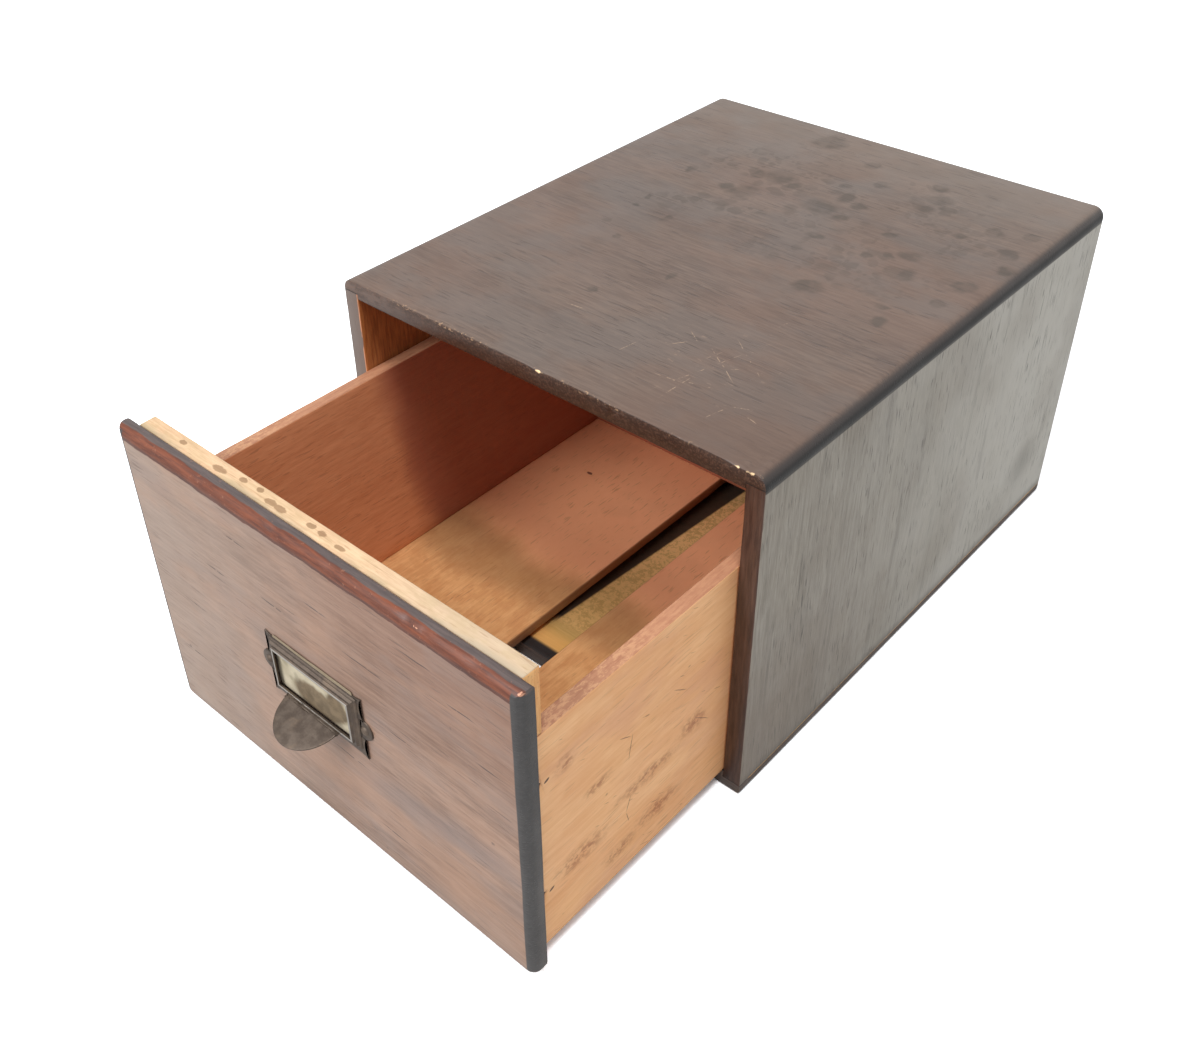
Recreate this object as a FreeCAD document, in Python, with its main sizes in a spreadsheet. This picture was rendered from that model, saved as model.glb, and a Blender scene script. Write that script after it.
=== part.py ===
"""Index card drawer: a wooden case and the card drawer that slides in it, with a card label holder.

Millimetres. X runs along the front, -Y is the front and +Z is up. The origin is the middle of the
case's underside. The drawer is modelled pulled out by `pulled_out`, and closes along +Y.
"""
import FreeCAD, Part
import math
import os
import re

doc = FreeCAD.newDocument("index_card_drawer")

# ---------------------------------------------------------------- driving dimensions

SIZES = {
    # case
    "case_width": 246,
    "case_depth": 302,
    "case_height": 182,
    "wall_thickness": 9.5,
    "top_thickness": 9.4,
    "top_ledge": 6.4,
    "bottom_thickness": 8.5,
    "bottom_ledge": 5.5,
    "panel_thickness": 4,
    "panel_lap": 3.5,
    "top_round": 6,
    "rear_round": 4,
    "foot_round": 1.5,
    # drawer box
    "pulled_out": 124,
    "side_gap": 0.5,
    "floor_gap": 0.3,
    "box_length": 296.5,
    "box_side_height": 124,
    "box_side_thickness": 7,
    "box_back_thickness": 6.5,
    "inner_front_thickness": 8.4,
    "inner_front_headroom": 6.1,
    "board_edge_round": 0.6,
    "floor_thickness": 6.4,
    "floor_rise": 3.2,
    "groove_depth": 3,
    "rod_slot_width": 23,
    # applied front
    "front_thickness": 8,
    "front_inset": 4,
    "front_headroom": 4.6,
    "front_foot_gap": 5,
    "front_round": 4.5,
    # nails, brads and screws
    "nail_radius": 0.8,
    "nail_head_radius": 1.35,
    "nail_head_height": 0.8,
    "nail_point": 2.4,
    "nail_length": 24,
    "brad_radius": 0.6,
    "brad_head_radius": 1.1,
    "brad_head_height": 0.5,
    "brad_point": 1.8,
    "brad_length": 16,
    "nail_set": 0.35,
    "filler_depth": 1.05,
    "case_nail_margin": 28,
    "front_nail_inset": 5,
    "corner_nail_margin": 19,
    "floor_nail_margin": 18,
    "panel_brad_margin": 24,
    "low_nail_rise": 34,
    "high_nail_rise": 98.5,
    "screw_radius": 1.7,
    "screw_head_radius": 3.4,
    "screw_head_height": 2,
    "screw_length": 13,
    "screw_point": 4,
    "screw_slot_width": 0.8,
    "screw_slot_depth": 0.9,
    "screw_inset": 36,
    "screw_low_rise": 30,
    "screw_high_rise": 134,
    # label holder and its card
    "holder_width": 59,
    "holder_height": 32.5,
    "holder_lift": 0.6,
    "holder_sheet": 0.8,
    "rim_raise": 3.4,
    "rim_lip": 0.5,
    "rim_slope": 3.7,
    "window_width": 46.5,
    "window_height": 20,
    "window_lift": 1.3,
    "ear_reach": 5.5,
    "ear_half_height": 5.2,
    "ear_neck": 0.5,
    "horn_reach": 0.9,
    "horn_rise": 1,
    "pull_width": 33,
    "pull_reach": 18.4,
    "pull_drop": 3.9,
    "pull_root_round": 2.2,
    "card_thickness": 0.45,
    "card_gap": 0.3,
    "card_slack": 0.6,
    "card_rise": 1.6,
    "tack_radius": 0.7,
    "tack_head_radius": 2.3,
    "tack_head_height": 1.1,
    "tack_inset": 4.3,
    "tack_length": 6,
}

# How many fasteners stand in one row.
CASE_NAIL_COUNT = 4
BRAD_ROW_COUNT = 4
BRAD_COLUMN_COUNT = 3
BACK_NAIL_COUNT = 3
FLOOR_NAIL_COUNT = 3

POINT_TIP = 0.12      # a fastener's blunt tip, as a share of its shank's radius
CLOSE = 1e-4          # two places nearer than this are the same

# Places and lengths that follow from the driving dimensions. Each line may use the ones above it.
DERIVED = {
    "ground_level": "0",
    "front_face": "-case_depth / 2",
    "rear_face": "case_depth / 2",
    "wall_outer": "case_width / 2",
    "wall_inner": "wall_outer - wall_thickness",
    "wall_middle": "wall_outer - wall_thickness / 2",
    "ceiling_height": "case_height - top_thickness",
    "side_top": "case_height - top_ledge",
    "panel_front": "rear_face - panel_thickness",
    "panel_half_width": "wall_inner + panel_lap",
    "panel_bottom": "bottom_thickness - panel_lap",
    "panel_top": "ceiling_height + panel_lap",
    "box_front": "front_face - pulled_out",
    "box_rear": "box_front + box_length",
    "box_outer": "wall_inner - side_gap",
    "box_inner": "box_outer - box_side_thickness",
    "box_foot": "bottom_thickness + floor_gap",
    "box_top": "box_foot + box_side_height",
    "box_back_front": "box_rear - box_back_thickness",
    "box_back_middle": "box_rear - box_back_thickness / 2",
    "inner_front_rear": "box_front + inner_front_thickness",
    "inner_front_top": "ceiling_height - inner_front_headroom",
    "floor_underside": "box_foot + floor_rise",
    "floor_top": "floor_underside + floor_thickness",
    "floor_outer": "box_inner + groove_depth",
    "slot_edge": "rod_slot_width / 2",
    "floor_front": "inner_front_rear - groove_depth",
    "plate_face": "box_front - front_thickness",
    "plate_half_width": "wall_outer - front_inset",
    "plate_top": "ceiling_height - front_headroom",
    "holder_middle": "(front_foot_gap + plate_top) / 2 + holder_lift",
    "holder_bottom": "holder_middle - holder_height / 2",
    "holder_top": "holder_middle + holder_height / 2",
    "holder_edge": "holder_width / 2",
    "holder_back": "plate_face - holder_sheet",
    "rim_face": "plate_face - rim_raise",
    "window_half": "window_width / 2",
    "window_bottom": "holder_middle + window_lift - window_height / 2",
    "window_top": "window_bottom + window_height",
    "tack_place": "holder_edge + ear_reach - tack_inset",
    "tack_dome": "(tack_head_radius ^ 2 + tack_head_height ^ 2) / (2 * tack_head_height)",
    "card_rear": "plate_face - card_gap",
    "card_front": "card_rear - card_thickness",
    "pocket_spread": "rim_lip + rim_slope * (card_front - rim_face - holder_sheet) / rim_raise",
    "card_half": "window_half + pocket_spread - card_slack",
    "card_foot": "window_bottom - pocket_spread + card_slack",
    "card_top": "holder_top + card_rise",
}


def fill_sheet(name, cells, as_formula):
    """A sheet with one row for each size: its name in column A, and its value, with that alias, in B."""
    sheet = doc.addObject("Spreadsheet::Sheet", name)
    for row, (alias, value) in enumerate(cells.items(), start=1):
        sheet.set("A%d" % row, alias)
        sheet.set("B%d" % row, as_formula(value))
        sheet.setAlias("B%d" % row, alias)
    doc.recompute()
    return sheet


def linked(expression):
    """The expression with each name pointing to the sheet that holds it."""
    def full_name(match):
        word = match.group(0)
        return ("sizes." if word in SIZES else "places.") + word
    return re.sub(r"[a-z]+(?:_[a-z]+)+", full_name, str(expression))


def place_formula(expression):
    """The same for a cell of the places sheet, which names its own cells without the sheet."""
    return "=" + linked(expression).replace("places.", "")


sizes = fill_sheet("sizes", SIZES, str)
places = fill_sheet("places", DERIVED, place_formula)


def value(name):
    """One size or place as a number, for the two outlines that are drawn point by point."""
    return float(getattr(sizes if name in SIZES else places, name))


# ---------------------------------------------------------------- building blocks

def set_sizes(feature, properties, expressions):
    for name, expression in zip(properties, expressions):
        feature.setExpression(name, linked(expression))


def put(feature, corner):
    """Binds the feature's place to three expressions."""
    set_sizes(feature, ("Placement.Base.x", "Placement.Base.y", "Placement.Base.z"), corner)


def box_feature(feature, low, high):
    """Binds a box's place and size to its lowest and highest corner."""
    put(feature, low)
    spans = ["(%s) - (%s)" % (top, bottom) for bottom, top in zip(low, high)]
    set_sizes(feature, ("Length", "Width", "Height"), spans)
    return feature


def board(name, low, high):
    """A body that holds one plain board between two corners."""
    body = doc.addObject("PartDesign::Body", name)
    box_feature(body.newObject("PartDesign::AdditiveBox", name + "_blank"), low, high)
    return body


def recess(body, name, low, high):
    """Cuts a box-shaped groove, rebate or notch in a board."""
    box_feature(body.newObject("PartDesign::SubtractiveBox", name), low, high)


def edges_of(shape, axes, chosen):
    """Names of the straight edges along one of the axes whose two ends pass the test."""
    names = []
    for number, edge in enumerate(shape.Edges, start=1):
        ends = [vertex.Point for vertex in edge.Vertexes]
        span = ends[-1] - ends[0]
        along = [axis for axis in "xyz" if abs(getattr(span, axis)) > CLOSE]
        if len(along) == 1 and along[0] in axes and all(chosen(end) for end in ends):
            names.append("Edge%d" % number)
    return names


def round_edges(body, name, radius, axes, chosen):
    """Rounds the board's edges that run along one of the axes and pass the test."""
    doc.recompute()
    base = body.Tip
    rounding = body.newObject("PartDesign::Fillet", name)
    rounding.Base = (base, edges_of(base.Shape, axes, chosen))
    rounding.setExpression("Radius", linked(radius))
    body.Tip = rounding


def block(name, low, high):
    return box_feature(doc.addObject("Part::Box", name), low, high)


def fuse(name, pieces):
    union = doc.addObject("Part::MultiFuse", name)
    union.Shapes = pieces
    return union


def bored(name, body, *fasteners):
    """The board with the holes that its fasteners fill, and their mouths."""
    mouths = [MOUTHS[fastener.Name] for fastener in fasteners if fastener.Name in MOUTHS]
    drilled = doc.addObject("Part::Cut", name)
    drilled.Base = body
    drilled.Tool = doc.addObject("Part::Compound", name + "_holes")
    drilled.Tool.Links = list(fasteners) + mouths
    return drilled


# ---------------------------------------------------------------- fasteners

DRIVE = {
    "+x": ((1, 0, 0), FreeCAD.Rotation(FreeCAD.Vector(0, 1, 0), 90)),
    "-x": ((-1, 0, 0), FreeCAD.Rotation(FreeCAD.Vector(0, 1, 0), -90)),
    "+y": ((0, 1, 0), FreeCAD.Rotation(FreeCAD.Vector(1, 0, 0), -90)),
    "-y": ((0, -1, 0), FreeCAD.Rotation(FreeCAD.Vector(1, 0, 0), 90)),
    "+z": ((0, 0, 1), FreeCAD.Rotation()),
    "-z": ((0, 0, -1), FreeCAD.Rotation(FreeCAD.Vector(1, 0, 0), 180)),
}


def stand(feature, start, way, depth):
    """Turns a round feature to the way it is driven, its base `depth` in from the start."""
    direction, rotation = DRIVE[way]
    feature.Placement = FreeCAD.Placement(FreeCAD.Vector(), rotation)
    put(feature, ["(%s) + %d * (%s)" % (base, step, depth) for base, step in zip(start, direction)])
    return feature


def cylinder(name, radius, length, start, way, depth="0"):
    feature = doc.addObject("Part::Cylinder", name)
    set_sizes(feature, ("Radius", "Height"), (radius, length))
    return stand(feature, start, way, depth)


def cone(name, first_radius, last_radius, length, start, way, depth="0"):
    feature = doc.addObject("Part::Cone", name)
    set_sizes(feature, ("Radius1", "Radius2", "Height"), (first_radius, last_radius, length))
    return stand(feature, start, way, depth)


def nail(name, kind, start, way, depth):
    """Head, shank and point of one nail or brad, driven `depth` below the wood's face at `start`."""
    radius = kind + "_radius"
    head = kind + "_head_height"
    shank = "%s_length - %s_point - %s" % (kind, kind, head)
    tip_radius = "%s * %g" % (radius, POINT_TIP)
    return [
        cylinder(name + "_head", kind + "_head_radius", head, start, way, depth),
        cylinder(name + "_shank", radius, shank, start, way, "%s + %s" % (depth, head)),
        cone(name + "_point", radius, tip_radius, kind + "_point", start, way,
             "%s + %s + %s" % (depth, head, shank)),
    ]


def evenly(first, last, count):
    """Expressions for `count` places, evenly spaced from first to last."""
    shares = [step / (count - 1) for step in range(count)]
    return ["(%s) + %g * ((%s) - (%s))" % (first, share, last, first) for share in shares]


MOUTHS = {}           # for each group of set nails, the open mouths above their heads


def nails(name, kind, starts_and_ways):
    """A group of equal nails set a little below the wood's face, one for each pair of point and way."""
    pieces = []
    mouths = []
    for number, (start, way) in enumerate(starts_and_ways, start=1):
        mark = "%s_%d" % (name, number)
        pieces += nail(mark, kind, start, way, "nail_set")
        mouths.append(cylinder(mark + "_mouth", kind + "_head_radius", "nail_set", start, way))
    MOUTHS[name] = fuse(name + "_mouths", mouths)
    return fuse(name, pieces)


def filled_nails(name, kind, starts_and_ways):
    """A group of equal nails punched deep and covered with filler."""
    pieces = []
    for number, (start, way) in enumerate(starts_and_ways, start=1):
        pieces += nail("%s_%d" % (name, number), kind, start, way, "filler_depth")
    return fuse(name, pieces)


def screws(name, starts, way):
    """Countersunk wood screws, whole and with their slots. A start is the middle of a head's face."""
    pieces = []
    slots = []
    for number, start in enumerate(starts, start=1):
        mark = "%s_%d" % (name, number)
        shank_end = "screw_length - screw_point"
        pieces += [
            cone(mark + "_head", "screw_head_radius", "screw_radius", "screw_head_height", start, way),
            cylinder(mark + "_shank", "screw_radius", shank_end, start, way),
            cone(mark + "_point", "screw_radius", "screw_radius * %g" % POINT_TIP, "screw_point",
                 start, way, shank_end),
        ]
        x, y, z = start
        low = (x + " - screw_head_radius", y + " - screw_slot_depth", z + " - screw_slot_width / 2")
        high = (x + " + screw_head_radius", y, z + " + screw_slot_width / 2")
        slots.append(block(mark + "_slot", low, high))
    whole = fuse(name + "_blanks", pieces)
    slotted = doc.addObject("Part::Cut", name)
    slotted.Base = whole
    slotted.Tool = fuse(name + "_slots", slots)
    return whole, slotted


# ---------------------------------------------------------------- case

def near(number, place):
    return abs(number - value(place)) < CLOSE


def signed_value(expression):
    """A place or its mirror image, such as -wall_inner, as a number."""
    name = expression.lstrip("-")
    return -value(name) if expression.startswith("-") else value(name)


def grid(columns, rows):
    """Every pair of a column's place and a row's place."""
    return [(column, row) for column in columns for row in rows]


def make_case():
    walls = ("-wall_middle", "wall_middle")
    nail_row = evenly("front_face + case_nail_margin", "rear_face - case_nail_margin", CASE_NAIL_COUNT)
    top_nails = filled_nails("case_top_nails", "nail", [((x, y, "case_height"), "-z")
                                                        for x, y in grid(walls, nail_row)])
    bottom_nails = nails("case_bottom_nails", "nail", [((x, y, "ground_level"), "+z")
                                                       for x, y in grid(walls, nail_row)])

    brad_row = evenly("-wall_inner + panel_brad_margin", "wall_inner - panel_brad_margin", BRAD_ROW_COUNT)
    brad_column = evenly("bottom_thickness + panel_brad_margin", "ceiling_height - panel_brad_margin",
                         BRAD_COLUMN_COUNT)
    brad_places = grid(brad_row, ("bottom_thickness - panel_lap / 2", "ceiling_height + panel_lap / 2"))
    brad_places += grid(("-wall_inner - panel_lap / 2", "wall_inner + panel_lap / 2"), brad_column)
    panel_brads = nails("case_back_brads", "brad", [((x, "rear_face", z), "-y") for x, z in brad_places])

    rebate_low = ("-panel_half_width", "panel_front", "panel_bottom")
    rebate_high = ("panel_half_width", "rear_face", "panel_top")

    ends = (("left", "-wall_outer", "-wall_inner"), ("right", "wall_inner", "wall_outer"))
    top = board("case_top_board", ("-wall_outer", "front_face", "ceiling_height"),
                ("wall_outer", "rear_face", "case_height"))
    recess(top, "case_top_rebate", rebate_low, rebate_high)
    for end, low_x, high_x in ends:
        recess(top, "case_top_%s_ledge" % end, (low_x, "front_face", "ceiling_height"),
               (high_x, "rear_face", "side_top"))
    round_edges(top, "case_top_rounding", "top_round", "y",
                lambda p: near(p.z, "case_height") and near(abs(p.x), "wall_outer"))
    round_edges(top, "case_top_rear_rounding", "rear_round", "x",
                lambda p: near(p.z, "case_height") and near(p.y, "rear_face"))

    bottom = board("case_bottom_board", ("-wall_outer", "front_face", "ground_level"),
                   ("wall_outer", "rear_face", "bottom_thickness"))
    recess(bottom, "case_bottom_rebate", rebate_low, rebate_high)
    for end, low_x, high_x in ends:
        recess(bottom, "case_bottom_%s_ledge" % end, (low_x, "front_face", "bottom_ledge"),
               (high_x, "rear_face", "bottom_thickness"))
    round_edges(bottom, "case_bottom_rear_rounding", "rear_round", "z",
                lambda p: near(abs(p.x), "wall_outer") and near(p.y, "rear_face"))
    round_edges(bottom, "case_bottom_rounding", "foot_round", "y",
                lambda p: near(abs(p.x), "wall_outer") and near(p.z, "ground_level"))

    sub_parts = {
        "case_top": bored("case_top", top, top_nails, panel_brads),
        "case_bottom": bored("case_bottom", bottom, bottom_nails, panel_brads),
    }
    for name, inner, outer in (("case_left_side", "-wall_inner", "-wall_outer"),
                               ("case_right_side", "wall_inner", "wall_outer")):
        low_x, high_x = sorted((inner, outer), key=signed_value)
        side = board(name + "_board", (low_x, "front_face", "bottom_ledge"),
                     (high_x, "rear_face", "side_top"))
        recess(side, name + "_rebate", rebate_low, rebate_high)
        round_edges(side, name + "_rounding", "rear_round", "z",
                    lambda p: near(abs(p.x), "wall_outer") and near(p.y, "rear_face"))
        sub_parts[name] = bored(name, side, top_nails, bottom_nails, panel_brads)

    panel = board("case_back_board", rebate_low, rebate_high)
    sub_parts["case_back"] = bored("case_back", panel, panel_brads)
    sub_parts["case_top_nails"] = top_nails
    sub_parts["case_bottom_nails"] = bottom_nails
    sub_parts["case_back_brads"] = panel_brads
    return sub_parts


# ---------------------------------------------------------------- drawer box

def make_drawer_box():
    sides = (("box_outer", "-x"), ("-box_outer", "+x"))
    front_column = ("box_foot + low_nail_rise", "box_foot + high_nail_rise")
    front_nails = nails("side_front_nails", "nail", [((x, "box_front + front_nail_inset", z), way)
                                                     for (x, way), z in grid(sides, front_column)])
    back_column = evenly("floor_top + corner_nail_margin", "box_top - corner_nail_margin", BACK_NAIL_COUNT)
    back_nails = nails("side_back_nails", "nail", [((x, "box_back_middle", z), way)
                                                   for (x, way), z in grid(sides, back_column)])
    floor_row = evenly("slot_edge + floor_nail_margin", "box_inner - floor_nail_margin", FLOOR_NAIL_COUNT)
    floor_places = [(sign + "(%s)" % x, "box_back_middle", "floor_underside")
                    for sign, x in grid(("-", ""), floor_row)]
    floor_nails = nails("floor_nails", "brad", [(place, "+z") for place in floor_places])

    groove_low = ("-floor_outer", "floor_front", "floor_underside")
    groove_high = ("floor_outer", "box_rear", "floor_top")

    sub_parts = {}
    for name, inner, outer in (("drawer_left_side", "-box_inner", "-box_outer"),
                               ("drawer_right_side", "box_inner", "box_outer")):
        low_x, high_x = sorted((inner, outer), key=signed_value)
        side = board(name + "_board", (low_x, "box_front", "box_foot"), (high_x, "box_rear", "box_top"))
        recess(side, name + "_groove", groove_low, groove_high)
        round_edges(side, name + "_rounding", "board_edge_round", "y", lambda p: near(p.z, "box_top"))
        sub_parts[name] = bored(name, side, front_nails, back_nails)

    back = board("drawer_back_board", ("-box_inner", "box_back_front", "floor_top"),
                 ("box_inner", "box_rear", "box_top"))
    sub_parts["drawer_back"] = bored("drawer_back", back, back_nails, floor_nails)

    for name, low_x, high_x in (("floor_left_board", "-floor_outer", "-slot_edge"),
                                ("floor_right_board", "slot_edge", "floor_outer")):
        floor = board(name + "_plank", (low_x, "floor_front", "floor_underside"),
                      (high_x, "box_rear", "floor_top"))
        sub_parts[name] = bored(name, floor, floor_nails)

    inner_front = board("inner_front_board", ("-box_outer", "box_front", "box_foot"),
                        ("box_outer", "inner_front_rear", "inner_front_top"))
    for end, low_x, high_x in (("left", "-box_outer", "-box_inner"), ("right", "box_inner", "box_outer")):
        recess(inner_front, "inner_front_%s_notch" % end, (low_x, "box_front", "box_foot"),
               (high_x, "inner_front_rear", "box_top"))
    recess(inner_front, "inner_front_groove", groove_low, ("floor_outer", "inner_front_rear", "floor_top"))
    round_edges(inner_front, "inner_front_rounding", "board_edge_round", "x",
                lambda p: near(p.z, "inner_front_top") and near(p.y, "inner_front_rear"))
    return sub_parts, inner_front, front_nails, back_nails, floor_nails


# ---------------------------------------------------------------- applied front

def make_front(inner_front, front_nails, tacks):
    columns = ("-plate_half_width + screw_inset", "plate_half_width - screw_inset")
    heights = ("box_foot + screw_low_rise", "box_foot + screw_high_rise")
    starts = [(x, "inner_front_rear", z) for x, z in grid(columns, heights)]
    screw_blanks, slotted_screws = screws("front_screws", starts, "-y")

    plate = board("drawer_front_board", ("-plate_half_width", "plate_face", "front_foot_gap"),
                  ("plate_half_width", "box_front", "plate_top"))
    round_edges(plate, "drawer_front_rounding", "front_round", "xz", lambda p: near(p.y, "plate_face"))
    return {
        "drawer_front": bored("drawer_front", plate, screw_blanks, tacks),
        "inner_front": bored("inner_front", inner_front, screw_blanks, front_nails),
        "front_screws": slotted_screws,
    }


# ---------------------------------------------------------------- label holder

def flat_solid(name, edges, offset):
    """A plate: the closed outline given by its edges, pushed out by the offset."""
    outline = Part.Wire(edges)
    plate = doc.addObject("Part::Feature", name)
    plate.Shape = Part.Face(outline).extrude(offset)
    return plate


def arc(start, middle, end):
    return Part.Arc(start, middle, end).toShape()


def line(start, end):
    return Part.LineSegment(start, end).toShape()


def ear(side):
    """The flange's end at one side (-1 left, +1 right): two horns and, between them, the tack's lobe."""
    face = value("plate_face")
    middle = value("holder_middle")
    edge = value("holder_edge")
    half_height = value("holder_height") / 2
    lobe = value("ear_half_height")
    neck_x = edge - value("ear_neck")
    horn_x = edge + value("horn_reach")
    horn_z = half_height + value("horn_rise")
    inner = neck_x - value("horn_reach") - value("horn_rise")
    bend_z = (horn_z + lobe) / 2

    def point(x, z):
        return FreeCAD.Vector(side * x, face, middle + z)

    edges = [
        line(point(inner, half_height), point(horn_x, horn_z)),
        arc(point(horn_x, horn_z), point(neck_x, bend_z), point(horn_x, lobe)),
        arc(point(horn_x, lobe), point(edge + value("ear_reach"), 0), point(horn_x, -lobe)),
        arc(point(horn_x, -lobe), point(neck_x, -bend_z), point(horn_x, -horn_z)),
        line(point(horn_x, -horn_z), point(inner, -half_height)),
        line(point(inner, -half_height), point(inner, half_height)),
    ]
    thickness = FreeCAD.Vector(0, -value("holder_sheet"), 0)
    return flat_solid("label_ear_%s" % ("left" if side < 0 else "right"), edges, thickness)


def finger_pull():
    """The half-round pull, bent out and down from the window's lower edge."""
    along = FreeCAD.Vector(0, -value("pull_reach"), -value("pull_drop"))
    depth = along.Length
    along.normalize()
    thickness = FreeCAD.Vector(0, -along.z, along.y) * value("holder_sheet")
    root = FreeCAD.Vector(0, value("rim_face") + value("holder_sheet") / 2, value("window_bottom"))
    half = value("pull_width") / 2
    fillet = value("pull_root_round")
    shoulder = fillet * (1 - math.cos(math.radians(45)))

    def point(across, out):
        return root + FreeCAD.Vector(across, 0, 0) + along * out

    edges = [
        line(point(-half - fillet, 0), point(half + fillet, 0)),
        arc(point(half + fillet, 0), point(half + shoulder, shoulder), point(half, fillet)),
        arc(point(half, fillet), point(0, depth), point(-half, fillet)),
        arc(point(-half, fillet), point(-half - shoulder, shoulder), point(-half - fillet, 0)),
    ]
    return flat_solid("finger_pull", edges, thickness)


def frustum(name, front, rear):
    """The raised rim's outer form: a small rectangle at the front and a larger one at the rear."""
    wedge = doc.addObject("Part::Wedge", name)
    set_sizes(wedge, ("Ymin", "Ymax"), (front, rear))
    for prefix, spread in (("", "rim_lip"), ("2", "rim_lip + rim_slope")):
        set_sizes(wedge, ("X%smin" % prefix, "X%smax" % prefix, "Z%smin" % prefix, "Z%smax" % prefix),
                  ("-window_half - (%s)" % spread, "window_half + " + spread,
                   "window_bottom - (%s)" % spread, "window_top + " + spread))
    return wedge


def make_label():
    tack_pieces = []
    for name, sign in (("left", "-"), ("right", "")):
        start = (sign + "tack_place", "holder_back", "holder_middle")
        dome = doc.addObject("Part::Sphere", "label_tack_%s_head" % name)
        rim_angle = "asin((tack_dome - tack_head_height) / tack_dome)"
        set_sizes(dome, ("Radius", "Angle1"), ("tack_dome", rim_angle))
        stand(dome, start, "-y", "tack_head_height - tack_dome")
        shank = cylinder("label_tack_%s_shank" % name, "tack_radius", "tack_length", start, "+y")
        tack_pieces += [dome, shank]
    tacks = fuse("label_tacks", tack_pieces)

    flange = block("label_flange", ("-holder_edge + ear_neck", "holder_back", "holder_bottom"),
                   ("holder_edge - ear_neck", "plate_face", "holder_top"))
    plate = fuse("label_plate", [flange, ear(-1), ear(1), frustum("label_rim", "rim_face", "plate_face")])
    hollows = fuse("label_hollows", [
        frustum("label_pocket", "rim_face + holder_sheet", "plate_face + holder_sheet"),
        block("label_window", ("-window_half", "rim_face", "window_bottom"),
              ("window_half", "plate_face", "window_top")),
        block("label_card_way", ("-card_half - card_slack", "card_front - card_gap", "window_top"),
              ("card_half + card_slack", "plate_face", "holder_top + horn_rise")),
    ])
    stamping = doc.addObject("Part::Cut", "label_stamping")
    stamping.Base = plate
    stamping.Tool = hollows
    holder = fuse("label_whole", [stamping, finger_pull()])
    card = block("label_card", ("-card_half", "card_front", "card_foot"),
                 ("card_half", "card_rear", "card_top"))
    return {"label_holder": bored("label_holder", holder, tacks), "label_card": card, "label_tacks": tacks}


# ---------------------------------------------------------------- the whole, its checks and its files

label_parts = make_label()
drawer_parts, inner_front_body, front_nail_group, back_nail_group, floor_nail_group = make_drawer_box()
SUB_PARTS = make_case()
SUB_PARTS.update(make_front(inner_front_body, front_nail_group, label_parts["label_tacks"]))
SUB_PARTS.update(drawer_parts)
SUB_PARTS.update({"side_front_nails": front_nail_group, "side_back_nails": back_nail_group,
                  "floor_nails": floor_nail_group})
SUB_PARTS.update(label_parts)

doc.recompute()
for item in doc.Objects:
    faults = [state for state in item.State if state in ("Invalid", "Error")]
    if faults:
        raise RuntimeError("%s did not build: %s" % (item.Label, faults))

os.makedirs("parts", exist_ok=True)
for node, item in SUB_PARTS.items():
    item.Label = node
    if item.Shape.isNull() or not item.Shape.isValid() or not item.Shape.Solids:
        raise RuntimeError("%s has no valid solid" % node)
    item.Shape.exportStep(os.path.join("parts", node + ".step"))
    print("%-20s %2d solids  %10.1f mm3" % (node, len(item.Shape.Solids), item.Shape.Volume))
print(len(SUB_PARTS), "sub-parts")
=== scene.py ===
"""The looks of the index card drawer: worn boards, stained and bare wood, and aged metal.

Metres. X runs along the front, -Y is the front and +Z is up, as in the frame.
"""
import bpy
import math
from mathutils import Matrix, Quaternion, Vector


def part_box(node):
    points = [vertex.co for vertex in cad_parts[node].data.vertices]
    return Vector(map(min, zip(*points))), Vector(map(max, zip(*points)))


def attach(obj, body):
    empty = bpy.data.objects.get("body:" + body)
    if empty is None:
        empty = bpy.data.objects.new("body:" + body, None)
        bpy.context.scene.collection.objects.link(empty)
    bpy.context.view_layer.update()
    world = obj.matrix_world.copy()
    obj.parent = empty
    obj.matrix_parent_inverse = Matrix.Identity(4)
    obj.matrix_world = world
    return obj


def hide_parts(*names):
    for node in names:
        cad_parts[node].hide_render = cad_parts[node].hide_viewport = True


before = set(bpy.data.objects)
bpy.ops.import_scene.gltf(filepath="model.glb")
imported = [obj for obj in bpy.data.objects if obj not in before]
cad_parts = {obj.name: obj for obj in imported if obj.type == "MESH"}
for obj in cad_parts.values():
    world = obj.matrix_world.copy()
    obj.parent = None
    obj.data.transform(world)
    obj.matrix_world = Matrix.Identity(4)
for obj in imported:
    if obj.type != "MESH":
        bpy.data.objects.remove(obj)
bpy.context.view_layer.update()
MM = 0.001


# ---------------------------------------------------------------- modelling by hand

def clear_selection():
    if bpy.context.object and bpy.context.object.mode != "OBJECT":
        bpy.ops.object.mode_set(mode="OBJECT")
    bpy.ops.object.select_all(action="DESELECT")


def make_active(piece):
    clear_selection()
    piece.select_set(True)
    bpy.context.view_layer.objects.active = piece


def settle(piece):
    """Puts the piece's place into its mesh, with its object at the origin."""
    make_active(piece)
    bpy.ops.object.transform_apply(location=True, rotation=True, scale=True)


def block(name, low, high):
    """A plain block between two corners, to be shaped."""
    clear_selection()
    low, high = Vector(low), Vector(high)
    bpy.ops.mesh.primitive_cube_add(size=1, location=(low + high) / 2, scale=high - low)
    piece = bpy.context.object
    piece.name = piece.data.name = name
    settle(piece)
    return piece


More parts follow.
